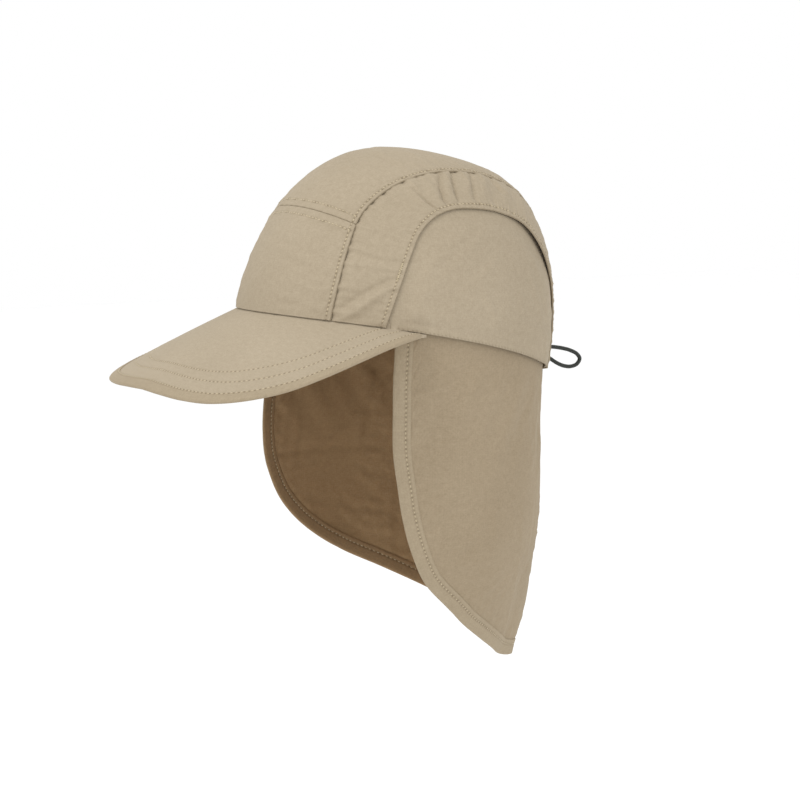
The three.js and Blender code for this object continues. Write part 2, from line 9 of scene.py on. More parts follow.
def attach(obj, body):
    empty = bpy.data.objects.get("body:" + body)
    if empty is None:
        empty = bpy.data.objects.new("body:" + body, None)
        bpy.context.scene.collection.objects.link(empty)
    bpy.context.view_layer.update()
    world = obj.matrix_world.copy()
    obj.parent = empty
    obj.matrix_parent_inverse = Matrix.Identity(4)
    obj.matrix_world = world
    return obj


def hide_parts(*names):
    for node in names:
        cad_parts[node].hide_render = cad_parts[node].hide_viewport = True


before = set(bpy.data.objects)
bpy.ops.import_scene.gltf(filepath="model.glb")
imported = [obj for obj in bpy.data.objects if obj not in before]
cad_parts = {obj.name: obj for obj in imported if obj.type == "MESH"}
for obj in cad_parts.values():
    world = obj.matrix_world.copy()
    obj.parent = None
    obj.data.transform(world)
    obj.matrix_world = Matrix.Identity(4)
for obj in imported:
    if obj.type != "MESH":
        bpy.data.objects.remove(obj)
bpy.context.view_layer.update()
millimetre = 0.001
print("frame loaded:", len(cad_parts), "nodes")

# Camera
cameraPlace = dict(aim=(5.57, -0.91, -36.73), away=1200, azimuth=57, elevation=8, lens=90)


def directionOf(azimuth, elevation):
    a, e = math.radians(azimuth), math.radians(elevation)
    return Vector((math.sin(a) * math.cos(e), -math.cos(a) * math.cos(e), math.sin(e)))


towardsCamera = directionOf(cameraPlace["azimuth"], cameraPlace["elevation"])
cameraSpot = Vector(cameraPlace["aim"]) + towardsCamera * cameraPlace["away"]
bpy.ops.object.camera_add(location=cameraSpot * millimetre)
camera = bpy.context.object
camera.rotation_euler = (-towardsCamera).to_track_quat("-Z", "Y").to_euler()
camera.data.lens = cameraPlace["lens"]
bpy.context.scene.camera = camera


# Small helpers
def ease(x, low, high):
    t = np.clip((np.asarray(x, float) - low) / (high - low), 0, 1)
    return t * t * (3 - 2 * t)


def mix(a, b, share):
    return a + (b - a) * share


def hump(distance, width):
    return np.exp(-(np.asarray(distance) / width) ** 2)


def unit(v):
    return v / np.maximum(np.linalg.norm(v, axis=-1, keepdims=True), 1e-12)


def curveRows(rows, t):  # smooth curve through rows of numbers, t counted in rows
    rows = np.asarray(rows, float)
    last = len(rows) - 1
    t = np.clip(np.asarray(t, float), 0, last)
    i = np.floor(t).astype(int)
    w = (t - i)[..., None]
    p0, p1 = rows[np.maximum(i - 1, 0)], rows[i]
    p2, p3 = rows[np.minimum(i + 1, last)], rows[np.minimum(i + 2, last)]
    a, b = (p2 - p0) / 2, (p3 - p1) / 2
    return (2 * p1 - 2 * p2 + a + b) * w ** 3 + (3 * p2 - 3 * p1 - 2 * a - b) * w ** 2 + a * w + p1


def ripple(x, seed, periods):  # uneven wave along a length, about 1 high
    phases = np.random.default_rng(seed).uniform(0, 2 * math.pi, len(periods))
    return sum(np.sin(2 * math.pi * x / p + a) for p, a in zip(periods, phases)) / len(periods) ** 0.5


def crumple(u, v, seed):  # soft uneven wrinkles over a sheet, about 1 high, with quiet patches between them
    total = np.zeros(np.broadcast(u, v).shape)
    for i, angle in enumerate(np.random.default_rng(seed).uniform(0, math.pi, 5)):
        along, across = u * math.cos(angle) + v * math.sin(angle), v * math.cos(angle) - u * math.sin(angle)
        patch = ease(ripple(across, seed + i, (41, 67)) + ripple(along, seed + 9 + i, (53, 83)), -0.4, 1.2)
        total += patch * ripple(along + 0.25 * across, seed + 20 + i, (8.3, 13.1, 21.7))
    return total / 1.6


def lengthsAlong(line):
    return np.r_[0, np.cumsum(np.linalg.norm(np.diff(line, axis=0), axis=-1))]


def deselectAll():
    for item in bpy.context.selected_objects:
        item.select_set(False)


def makeActive(piece):
    deselectAll()
    piece.select_set(True)
    bpy.context.view_layer.objects.active = piece


def meshPiece(name, points, faces, uv, shade=None):  # one uv pair for each point, in millimetres of cloth
    mesh = bpy.data.meshes.new(name)
    mesh.from_pydata((np.asarray(points) * millimetre).tolist(), [], np.asarray(faces).tolist())
    shading = mesh.attributes.new("seamShade", "FLOAT", "POINT")  # painted shade: how far the shade in needle holes and along seam folds darkens the cloth
    shade = np.zeros(len(points)) if shade is None else shade
    shading.data.foreach_set("value", shade.astype(np.float32).ravel())
    layer = mesh.uv_layers.new(name="clothLength")
    corner = np.zeros(len(mesh.loops), np.int32)
    mesh.loops.foreach_get("vertex_index", corner)
    layer.data.foreach_set("uv", (np.asarray(uv)[corner] / 100).astype(np.float32).ravel())
    piece = bpy.data.objects.new(name, mesh)
    bpy.context.scene.collection.objects.link(piece)
    return piece


def gridFaces(rows, columns, closed=False):
    i, j = np.meshgrid(np.arange(rows - 1), np.arange(columns if closed else columns - 1), indexing="ij")
    here, right = i * columns + j, i * columns + (j + 1) % columns
    return np.stack([here, right, right + columns, here + columns], -1).reshape(-1, 4)


# A grid of cloth is turned outwards and given its wall; the last material is its inside.
def clothPiece(name, points, outward, uv, wall, materials, shade=None, smoothAngle=50):
    rows, columns = points.shape[:2]
    faces = gridFaces(rows, columns)
    flat = points.reshape(-1, 3)
    a, b, c = flat[faces[:, 0]], flat[faces[:, 1]], flat[faces[:, 2]]
    if (np.cross(b - a, c - a) * outward.reshape(-1, 3)[faces[:, 0]]).sum() < 0:
        faces = faces[:, ::-1]
    piece = meshPiece(name, flat, faces, uv.reshape(-1, 2), shade)
    finishSheet(piece, wall, materials, smoothAngle)
    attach(piece, "root")
    return piece


def finishSheet(piece, wall, materials, smoothAngle):
    makeActive(piece)
    bpy.ops.object.mode_set(mode="EDIT")
    bpy.ops.mesh.select_all(action="SELECT")
    bpy.ops.mesh.remove_doubles(threshold=0.00002)
    bpy.ops.mesh.dissolve_degenerate(threshold=0.00001)
    bpy.ops.object.mode_set(mode="OBJECT")
    for material in materials:
        piece.data.materials.append(material)
    if wall:
        solid = piece.modifiers.new("wall", "SOLIDIFY")
        solid.thickness = wall * millimetre
        solid.offset = -1
        solid.material_offset = len(materials) - 1
        bpy.ops.object.modifier_apply(modifier="wall")
    bpy.ops.object.shade_smooth_by_angle(angle=math.radians(smoothAngle))


# Materials
def linear(code):
    values = [int(code[i:i + 2], 16) / 255 for i in (1, 3, 5)]
    return [v / 12.92 if v <= 0.04045 else ((v + 0.055) / 1.055) ** 2.4 for v in values] + [1]


def addNode(tree, kind, settings=None, inputs=None):  # inputs are values, or (node, output) links
    node = tree.nodes.new(kind)
    for key, value in (settings or {}).items():
        setattr(node, key, value)
    for key, value in (inputs or {}).items():
        if isinstance(value, tuple) and isinstance(value[0], bpy.types.Node):
            tree.links.new(value[0].outputs[value[1]], node.inputs[key])
        else:
            node.inputs[key].default_value = value
    return node


def startMaterial(name):
    material = bpy.data.materials.new(name)
    material.use_nodes = True
    tree = material.node_tree
    tree.nodes.clear()
    shader = addNode(tree, "ShaderNodeBsdfPrincipled")
    addNode(tree, "ShaderNodeOutputMaterial", None, {"Surface": (shader, "BSDF")})
    return material, tree, shader


# Taslan nylon: air-textured yarn in a plain weave, so its face is dull, dusty and slightly uneven.
# Its real yarns are 0.3 mm apart, too fine to show here; they are drawn twice as far apart and faint.
weave = dict(pitch=0.62, depth=0.05, slub=3.2, nap=0.55)


def wovenNylon(name, light, dark, roughness=0.88, pitch=None, sheen=0.12):
    material, tree, shader = startMaterial(name)
    place = addNode(tree, "ShaderNodeTexCoord")
    scale = 100 / (pitch or weave["pitch"]) * 0.314 / 2  # a wave texture has a period of 0.314 / scale
    bands = []
    for direction in ("X", "Y"):
        bands.append(addNode(tree, "ShaderNodeTexWave", {"bands_direction": direction, "wave_profile": "SIN"},
                             {"Vector": (place, "UV"), "Scale": scale, "Distortion": 1.5, "Detail": 1.0}))
    over = addNode(tree, "ShaderNodeMath", {"operation": "MAXIMUM"}, {0: (bands[0], "Fac"), 1: (bands[1], "Fac")})
    slub = addNode(tree, "ShaderNodeTexNoise", None,
                   {"Vector": (place, "UV"), "Scale": 100 / weave["slub"], "Detail": 4.0, "Roughness": 0.7})
    nap = addNode(tree, "ShaderNodeTexNoise", None,
                  {"Vector": (place, "UV"), "Scale": 100 / weave["nap"] / 2, "Detail": 3.0, "Roughness": 0.75})
    soft = addNode(tree, "ShaderNodeTexNoise", None,
                   {"Vector": (place, "Object"), "Scale": 22.0, "Detail": 3.0, "Roughness": 0.5})
    tone = addNode(tree, "ShaderNodeMath", {"operation": "MULTIPLY_ADD"},
                   {0: (nap, "Fac"), 1: 1.3, 2: (slub, "Fac")})
    tone = addNode(tree, "ShaderNodeMath", {"operation": "MULTIPLY_ADD"},
                   {0: (soft, "Fac"), 1: 0.5, 2: (tone, "Value")})
    tone = addNode(tree, "ShaderNodeMath", {"operation": "MULTIPLY_ADD"},
                   {0: (over, "Value"), 1: 0.12, 2: (tone, "Value")})
    ramp = addNode(tree, "ShaderNodeMapRange", None, {"Value": (tone, "Value"), "From Min": 1.05, "From Max": 1.95})
    colour = addNode(tree, "ShaderNodeMix", {"data_type": "RGBA"},
                     {0: (ramp, "Result"), 6: linear(dark), 7: linear(light)})
    # painted shade: where seamShade is high, the cloth colour is mixed towards a dark brown for the shade in needle
    # holes and seam folds
    seam = addNode(tree, "ShaderNodeAttribute", {"attribute_name": "seamShade"})
    paintedSeamShade = addNode(tree, "ShaderNodeMix", {"data_type": "RGBA"},
                   {0: (seam, "Fac"), 6: (colour, 2), 7: linear("#5d4f3a")})
    height = addNode(tree, "ShaderNodeMath", {"operation": "MULTIPLY_ADD"},
                     {0: (nap, "Fac"), 1: 2.0, 2: (over, "Value")})
    relief = addNode(tree, "ShaderNodeBump", None,
                     {"Height": (height, "Value"), "Strength": 0.35, "Distance": weave["depth"] * millimetre})
    rough = addNode(tree, "ShaderNodeMapRange", None,
                    {"Value": (slub, "Fac"), "To Min": roughness - 0.05, "To Max": roughness + 0.06})
    sources = {"Base Color": (paintedSeamShade, 2), "Roughness": (rough, "Result"), "Normal": (relief, "Normal")}
    for socket, (node, output) in sources.items():
        tree.links.new(node.outputs[output], shader.inputs[socket])
    shader.inputs["Sheen Weight"].default_value = sheen
    shader.inputs["Sheen Roughness"].default_value = 0.5
    shader.inputs["Sheen Tint"].default_value = linear("#d8d0c0")
    shader.inputs["Specular IOR Level"].default_value = 0.2
    return material


crownCloth = wovenNylon("taslan_nylon_khaki", "#a69984", "#928570")
brimCloth = wovenNylon("taslan_nylon_khaki_brim", "#a99c87", "#958873")
flapCloth = wovenNylon("taslan_nylon_khaki_flap", "#9c8d76", "#887962")
# painted shade and painted warm bounce light: the flap's inside is the same khaki cloth, coloured a darker, warmer
# brown
flapInside = wovenNylon("taslan_nylon_flap_back_painted_shade", "#a78c69", "#8b6f50", sheen=0.05)
tapeCloth = wovenNylon("woven_tape_khaki", "#a1937c", "#8d7f69", pitch=0.9)
# painted shade: the tape's inside half is the same khaki tape, coloured dark brown for the shade inside the flap
tapeInside = wovenNylon("woven_tape_back_painted_shade", "#9a8060", "#7f664a", pitch=0.9, sheen=0.05)
insideCloth = wovenNylon("taslan_nylon_khaki_back", "#97886e", "#83745b", sheen=0.05)


# Spun polyester thread: two plies twisted, with a soft shine that catches the light on each stitch.
def twistedThread(name, light, dark):
    material, tree, shader = startMaterial(name)
    place = addNode(tree, "ShaderNodeTexCoord")
    twist = addNode(tree, "ShaderNodeTexNoise", None,
                    {"Vector": (place, "Object"), "Scale": 2600.0, "Detail": 2.0})
    colour = addNode(tree, "ShaderNodeMix", {"data_type": "RGBA"},
                     {0: (twist, "Fac"), 6: linear(dark), 7: linear(light)})
    relief = addNode(tree, "ShaderNodeBump", None,
                     {"Height": (twist, "Fac"), "Strength": 0.3, "Distance": 0.00005})
    tree.links.new(colour.outputs[2], shader.inputs["Base Color"])
    tree.links.new(relief.outputs["Normal"], shader.inputs["Normal"])
    shader.inputs["Roughness"].default_value = 0.55
    shader.inputs["Sheen Weight"].default_value = 0.2
    return material


threadKhaki = twistedThread("spun_polyester_thread", "#c4b596", "#a39476")
print("materials ready")

# Crown form
crown = dict(width=166, frontReach=102.2, backReach=97.8, height=112.4, tilt=12.7, wall=1.1)
crownProfile = dict(front=(0.76, 1.03, -0.003), side=(0.74, 1.02, 0.044), back=(0.6, 1.07, -0.021))
crownAxis = np.array([0, math.sin(math.radians(crown["tilt"])), math.cos(math.radians(crown["tilt"]))])
# One row for each station from the front rim over the side to the back rim: the seam's turn and reach,
# the arch's turn and reach, and the bow.
bandStations = np.array([
    (-51, 1, -32, 1, -0.223), (-51, 0.864, -30, 0.863, -0.18), (-51.2, 0.725, -28.3, 0.744, -0.13),
    (-50.6, 0.615, -26.4, 0.653, -0.08), (-44.6, 0.499, -21.8, 0.578, -0.045), (-33.7, 0.397, -14.3, 0.527, -0.025),
    (-14, 0.309, -2.3, 0.498, -0.01), (15, 0.271, 10.6, 0.488, 0), (46.3, 0.311, 24.9, 0.511, 0.008),
    (62.6, 0.428, 36.4, 0.589, 0.015), (68.2, 0.571, 45.6, 0.665, 0.02), (70.2, 0.723, 50.9, 0.773, 0.028),
    (71.1, 0.867, 54.2, 0.89, 0.038), (71.8, 1, 56.3, 1, 0.05)])
lastStation = len(bandStations) - 1
frontSeamStation = 2.6
seamTurn, seamReach, archTurn, archReach = bandStations[:, :4].T
seamShares = np.c_[seamReach * np.cos(np.radians(seamTurn)), seamReach * np.sin(np.radians(seamTurn))]
archShares = np.c_[archReach * np.cos(np.radians(archTurn)), archReach * np.sin(np.radians(archTurn))]
stitch = dict(pitch=2.4, length=1.7, width=0.6, height=0.42)


def crownSurface(side, along):
    reach, turn = np.hypot(side, along), np.arctan2(along, side)
    climb = (1 - reach) * math.pi / 2
    front, back = np.maximum(0, -np.sin(turn)) ** 2, np.maximum(0, np.sin(turn)) ** 2
    shares = dict(front=front, side=1 - front - back, back=back)
    fullness, steepness, rise = (sum(share * crownProfile[key][i] for key, share in shares.items()) for i in range(3))
    radial, rim = np.abs(np.cos(climb)) ** fullness, rise * crown["height"]
    lengthReach = np.where(np.sin(turn) < 0, crown["frontReach"], crown["backReach"])
    x, y = crown["width"] / 2 * np.cos(turn) * radial, lengthReach * np.sin(turn) * radial
    up = np.sin(climb)
    z = rim + (crown["height"] - rim) * np.sign(up) * np.abs(up) ** steepness
    t = math.radians(-crown["tilt"])
    return np.stack([x, y * math.cos(t) - z * math.sin(t), y * math.sin(t) + z * math.cos(t)], -1)


def crownSpot(side, along, lift=0.0):
    small = 0.004
    point = crownSurface(side, along)
    across = crownSurface(side + small, along) - crownSurface(side - small, along)
    forth = crownSurface(side, along + small) - crownSurface(side, along - small)
    normal = unit(np.cross(across, forth))
    outside = point + crownAxis * (crown["height"] * (0.75 - np.hypot(side, along)))[..., None]
    normal = normal * np.where((normal * outside).sum(-1) < 0, -1, 1)[..., None]
    return point + normal * np.broadcast_to(lift, point.shape[:-1])[..., None], normal


def turnSpot(turn, reach, lift=0.0):
    turn = np.radians(turn)
    return crownSpot(reach * np.cos(turn), reach * np.sin(turn), lift)


def middleShares(station, across):
    edge = curveRows(seamShares, station)
    bow = curveRows(bandStations[:, 4:5], station)[..., 0]
    bow = np.where(np.abs(bow) < 1e-4, 1e-4, bow)
    radius = (edge[..., 0] ** 2 + bow ** 2) / (2 * np.abs(bow))
    side = edge[..., 0] * across
    rise = np.sqrt(radius ** 2 - side ** 2) - np.sqrt(radius ** 2 - edge[..., 0] ** 2)
    return side, edge[..., 1] + np.sign(bow) * rise


def bandShares(station, across):
    seam, arch = curveRows(seamShares, station), curveRows(archShares, station)
    turnA, turnB = (np.arctan2(e[..., 1], e[..., 0]) for e in (seam, arch))
    reachA, reachB = (np.minimum(1, np.hypot(e[..., 0], e[..., 1])) for e in (seam, arch))
    turn, reach = mix(turnA, turnB, across), mix(reachA, reachB, across)
    return reach * np.cos(turn), reach * np.sin(turn)


def lengthTables():
    station = np.linspace(0, lastStation, 521)
    half = crownSurface(*middleShares(station[:, None], np.linspace(0, 1, 41)[None]))
    band = crownSurface(*bandShares(station[:, None], np.linspace(0, 1, 31)[None]))
    spans = [np.linalg.norm(np.diff(sheet, axis=1), axis=-1).sum(1) for sheet in (half, band)]
    return station, lengthsAlong(half[:, -1]), lengthsAlong(half[:, 0]), spans[0], spans[1]


tableStation, seamLength, centreLength, halfWidth, bandWidth = lengthTables()
tableArch = lengthsAlong(crownSurface(*bandShares(tableStation, np.ones(521))))


def at(table, station):
    return np.interp(station, tableStation, table)


# Stitches: one stitch is modelled, then copied along each row
def modelStitch():
    deselectAll()
    bpy.ops.mesh.primitive_uv_sphere_add(segments=6, ring_count=5, radius=0.5)
    seed = bpy.context.object
    bpy.ops.object.mode_set(mode="EDIT")
    bpy.ops.mesh.select_all(action="SELECT")
    bpy.ops.transform.rotate(value=math.pi / 2, orient_axis="Y", center_override=(0, 0, 0))
    bpy.ops.transform.resize(value=(stitch["length"], stitch["width"], stitch["height"]))
    bpy.ops.object.mode_set(mode="OBJECT")
    points = np.array([v.co for v in seed.data.vertices])
    faces = [list(f.vertices) for f in seed.data.polygons]
    bpy.data.objects.remove(seed)
    points[:, 2] -= 0.55 * (2 * points[:, 0] / stitch["length"]) ** 2 * stitch["height"]  # ends dive into the cloth
    return points, faces


stitchPoints, stitchFaces = modelStitch()


def needleHoleShade(distance, length, pitch, width=0.5):  # painted shade: dark where the needle went in, between two stitches
    return 0.75 * hump(distance, width) * (0.5 + 0.5 * np.cos(2 * math.pi * length / pitch)) ** 2


def alongRow(line, normals, pitch, length):  # length is measured as the cloth's needle holes are
    spots = (np.arange(math.ceil(length[0] / pitch), math.floor(length[-1] / pitch)) + 0.5) * pitch
    place = np.stack([np.interp(spots, length, line[:, i]) for i in range(3)], -1)
    ahead = np.stack([np.interp(spots + 0.4, length, line[:, i]) for i in range(3)], -1)
    behind = np.stack([np.interp(spots - 0.4, length, line[:, i]) for i in range(3)], -1)
    up = unit(np.stack([np.interp(spots, length, normals[:, i]) for i in range(3)], -1))
    forward = unit(ahead - behind)
    side = unit(np.cross(up, forward))
    return place, forward, side, np.cross(forward, side)


def sewRows(name, rows, material, scale=1.0):
    points, faces = [], []
    for line, normals, pitch, length in rows:
        wobble = np.random.default_rng(len(points) + 3)
        for place, forward, side, up in zip(*alongRow(line, normals, pitch, length)):
            turn = wobble.normal(0, 0.09)
            ahead = forward * math.cos(turn) + side * math.sin(turn)
            axes = np.stack([ahead, np.cross(up, ahead), up])
            faces += [[v + len(points) * len(stitchPoints) for v in face] for face in stitchFaces]
            points.append(place + (stitchPoints * scale * wobble.uniform(0.9, 1.08)) @ axes)
    flat = np.concatenate(points)
    mesh = bpy.data.meshes.new(name)
    mesh.from_pydata((flat * millimetre).tolist(), [], faces)
    mesh.materials.append(material)
    piece = bpy.data.objects.new(name, mesh)
    bpy.context.scene.collection.objects.link(piece)
    makeActive(piece)
    bpy.ops.object.shade_smooth()
    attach(piece, "root")
    return piece


# Middle panels: front and top, seamed across and top-stitched
middle = dict(rowStep=0.6, seamRow=2.4, allowance=0.35, allowanceEnd=5.5, foldRadius=0.8, foldDrop=0.95,
              crossRow=4.8, crossDrop=0.5, pucker=0.34, puckerReach=9, crumple=0.26,
              stationMiddle=23.1, stationSide=18)  # cloth in one station at the cross seam, middle and side
sideSteps = np.array([0, .12, .3, .55, .85, 1.2, 1.6, 2.0, 2.4, 2.8, 3.3, 4, 5, 6.2, 7.6, 9.5, 12, 15])


def foldEdge(distance, radius, drop):
    inside = 1 - np.clip(distance / radius, 0, 1)
    return -drop * (1 - np.sqrt(1 - inside ** 2))


def stitchGroove(distance, length, depth, width=0.5):
    return -depth * hump(distance, width) * (0.7 + 0.3 * np.cos(2 * math.pi * length / stitch["pitch"]))


def crossGap(station, across):  # how far from the seam between the front and the top panel
    return (station - frontSeamStation) * mix(middle["stationMiddle"], middle["stationSide"], np.abs(across))


def middleLift(station, across):
    distance = at(halfWidth, station) * (1 - np.abs(across))
    length = at(seamLength, station)
    cross = crossGap(station, across)
    lift = middle["allowance"] * (1 - ease(distance, middle["allowanceEnd"] - 1.5, middle["allowanceEnd"] + 1.5))
    lift = np.maximum(lift, 0.3 * (1 - ease(np.abs(cross), 5.4, 7.2)))
    lift += stitchGroove(distance - middle["seamRow"], length, 0.2)
    lift += stitchGroove(np.abs(cross) - middle["crossRow"], at(halfWidth, station) * across, 0.2)
    lift += foldEdge(distance, middle["foldRadius"], middle["foldDrop"])
    lift += foldEdge(np.abs(cross), 0.6, middle["crossDrop"])
    fade = np.exp(-distance / middle["puckerReach"]) * ease(distance, 0, 2)
    lift += middle["pucker"] * fade * ripple(length + 3 * distance, 5, (5.3, 8.1, 12.7))
    wrinkles = crumple(at(halfWidth, station) * across, at(centreLength, station), 61)
    lift += middle["crumple"] * wrinkles * ease(distance, 0, 6)
    return lift


# painted shade: needle holes along both stitch rows, a dashed dark line in the cross seam, and darkening where the
# panel's edge folds under
def middleShade(station, across):
    distance = at(halfWidth, station) * (1 - np.abs(across))
    cross = crossGap(station, across)
    shade = needleHoleShade(distance - middle["seamRow"], at(seamLength, station), stitch["pitch"])
    shade += needleHoleShade(np.abs(cross) - middle["crossRow"], at(halfWidth, station) * across, stitch["pitch"])
    shade += 0.5 * hump(cross, 0.45) * (0.6 + 0.4 * np.cos(2 * math.pi * at(halfWidth, station) * across / 2.2))
    return np.clip(shade + 0.35 * (1 - ease(distance, 0, 0.8)), 0, 1)


def middleSheet(name, stations, node):
    half = at(halfWidth, stations)
    inner = np.linspace(0, 1, 12)
    columns = np.concatenate([
        np.stack([1 - step / half for step in sideSteps], 1),
        (1 - sideSteps[-1] / half)[:, None] * (1 - inner[1:])[None]], 1)
    across = np.concatenate([columns, -columns[:, -2::-1]], 1)
    station = np.broadcast_to(stations[:, None], across.shape)
    points, normals = crownSpot(*middleShares(station, across), middleLift(station, across))
    uv = np.stack([across * half[:, None], at(centreLength, station)], -1)
    piece = clothPiece(name, points, normals, uv, crown["wall"], [crownCloth, insideCloth],
                       middleShade(station, across))
    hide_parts(node)
    return piece


def evenStations(first, last, step):
    total = at(seamLength, last) - at(seamLength, first)
    lengths = np.linspace(at(seamLength, first), at(seamLength, last), int(total / step) + 1)
    return np.interp(lengths, seamLength, tableStation)


nearSeam = np.array([0.0, 0.005, 0.013, 0.025, 0.045])
frontStations = np.r_[evenStations(0, frontSeamStation - 0.07, middle["rowStep"]), frontSeamStation - nearSeam[::-1]]
topStations = np.r_[frontSeamStation + nearSeam,
                    evenStations(frontSeamStation + 0.07, lastStation, middle["rowStep"])]
middleSheet("front_panel_cloth", frontStations, "front_panel")
middleSheet("top_panel_cloth", topStations, "top_panel")
print("middle panels made")

# Arched side bands, gathered at the top
band = dict(under=1.6, valley=0.75, backShift=7, hem=0.3, hemEnd=5.5, edgeRow=3.0, foldRadius=0.7, foldDrop=0.9,
            gatherHeight=1.7, gatherWidth=0.2, ventLift=1.7, vent=(6.9, 8.7, 10.6), creases=2.5, crumple=0.26,
            pucker=0.42, stationLength=24, midWidth=33)
gathers = [(4.25, -.55, .55), (4.8, -.75, .9), (5.3, -.6, .75), (5.8, -.65, 1), (6.35, -.5, .8),
           (6.85, -.55, 1), (7.35, -.1, .7), (7.85, .15, .6)]  # station on the seam, lean, height
# Soft creases of a band: from and to as station and share across, half width and height.
bandCreases = [
    ((5.70, 0.02), (4.95, 0.86), 1.3, -0.75), ((6.00, 0.02), (5.46, 0.86), 1.2, -0.7),
    ((6.50, 0.05), (6.10, 0.80), 1.4, -0.55), ((7.00, 0.05), (7.22, 0.5), 1.4, -0.5),
    ((4.60, 0.25), (4.42, 0.85), 1.3, -0.5), ((3.70, 0.1), (3.82, 0.55), 1.8, -0.3),
    ((0.36, 0.1), (1.25, 0.88), 2.2, -0.5), ((0.15, 0.2), (1.05, 0.9), 2.6, 0.45),
    ((1.74, 0.0), (1.62, 0.92), 2.8, -0.32), ((2.05, 0.0), (1.88, 0.6), 2.2, -0.22),
    ((2.50, 0.05), (2.43, 0.7), 2.6, -0.18), ((1.45, 0.2), (1.5, 0.9), 2.4, 0.25)]


def creaseLift(station, across, creases, stationLength, width):
    here = np.stack([station * stationLength, across * width], -1)
    total = np.zeros(station.shape)
    for start, end, spread, height in creases:
        a = np.array([start[0] * stationLength, start[1] * width])
        b = np.array([end[0] * stationLength, end[1] * width])
        share = ((here - a) @ (b - a)) / ((b - a) @ (b - a))
        gap = np.linalg.norm(here - (a + np.clip(share, 0, 1)[..., None] * (b - a)), axis=-1)
        ends = ease(share, -0.15, 0.2) * (1 - ease(share, 0.75, 1.15))
        total += height * hump(gap, spread) * (0.35 + 0.65 * ends)
    return total


def bandLift(station, across):
    seamGap = across * at(bandWidth, station)
    edgeGap = (bandEdge(station) - across) * at(bandWidth, station)
    length = at(seamLength, station)
    crest = np.sin(math.pi / 2 * np.clip(across / 0.36, 0, 2))
    swell = mix(0.75, 1, crest) * (1 - ease(across, 0.6, 0.97))
    ridges = sum(h * np.exp(-((station - s - lean * across) / band["gatherWidth"]) ** 2) for s, lean, h in gathers)
    start, top, end = band["vent"]
    opened = ease(station, start, top) * (1 - ease(station, top, end)) * np.clip(across, 0, 1) ** 2
    lift = band["gatherHeight"] * ridges * swell + band["ventLift"] * opened
    lift += band["creases"] * creaseLift(station, across, bandCreases, band["stationLength"], band["midWidth"])
    lift += band["crumple"] * crumple(length, seamGap, 71) * ease(seamGap, 0, 5) * ease(edgeGap, 0, 5)
    lift += band["pucker"] * np.exp(-np.abs(seamGap) / 7) * ripple(length, 11, (4.7, 7.3, 11.9))
    lift += band["pucker"] * np.exp(-edgeGap / 6) * ripple(length, 13, (4.1, 6.7, 10.3)) * ease(edgeGap, 0, 2)
    lift -= band["valley"] * (1 - ease(seamGap, 0, 3.2))
    lift -= 0.5 * ease(-seamGap, 0, 1)
    lift += band["hem"] * (1 - ease(edgeGap, band["hemEnd"] - 1, band["hemEnd"] + 1))
    lift += stitchGroove(edgeGap - band["edgeRow"], at(tableArch, station), 0.2)
    lift += foldEdge(edgeGap, band["foldRadius"], band["foldDrop"])
    return lift


def bandEdge(station):  # the arch's edge runs further round the back near the rim
    return 1 - band["backShift"] * ease(station, 9.6, 11) / at(bandWidth, station)


# painted shade: needle holes along the arch row, a dark line under the middle panel's edge, and darkening at the
# folded arch edge
def bandShade(station, across):
    edgeGap = (bandEdge(station) - across) * at(bandWidth, station)
    shade = needleHoleShade(edgeGap - band["edgeRow"], at(tableArch, station), stitch["pitch"])
    shade += 0.3 * hump(across * at(bandWidth, station), 0.7)
    return np.clip(shade + 0.3 * (1 - ease(edgeGap, 0, 0.7)), 0, 1)


def bandSheet(side):
    stations = evenStations(0, lastStation, 0.6)
    width = at(bandWidth, stations)
    fromSeam = np.array([-band["under"], -0.8, -0.2, 0.2, 0.6, 1.1, 1.8, 2.6, 3.6, 5, 6.5, 8])
    fromEdge = np.array([8, 6.4, 5.2, 4.4, 3.8, 3.4, 3.0, 2.6, 2.2, 1.7, 1.2, 0.8, 0.5, 0.28, 0.1, 0])
    edge = bandEdge(stations)
    first, last = fromSeam[-1] / width, edge - fromEdge[0] / width
    inner = np.linspace(0, 1, 13)[1:-1]
    across = np.concatenate([fromSeam[None] / width[:, None], mix(first[:, None], last[:, None], inner[None]),
                             edge[:, None] - fromEdge[None] / width[:, None]], 1)
    station = np.broadcast_to(stations[:, None], across.shape)
    points, normals = crownSpot(*bandShares(station, across), bandLift(station, across))
    uv = np.stack([at(seamLength, station), across * width[:, None]], -1)
    mirror = np.array([side, 1, 1])
    piece = clothPiece("side_band_cloth_" + ("left" if side > 0 else "right"), points * mirror, normals * mirror,
                       uv, crown["wall"], [crownCloth, insideCloth], bandShade(station, across))
    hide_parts("side_band_left" if side > 0 else "side_band_right")
    return piece


for side in (1, -1):
    bandSheet(side)
print("side bands made")

# Side panels under the arches
panel = dict(overlap=7, depth=1.45, dipStart=4.5, dipWidth=15, ripple=0.2, crumple=0.3)


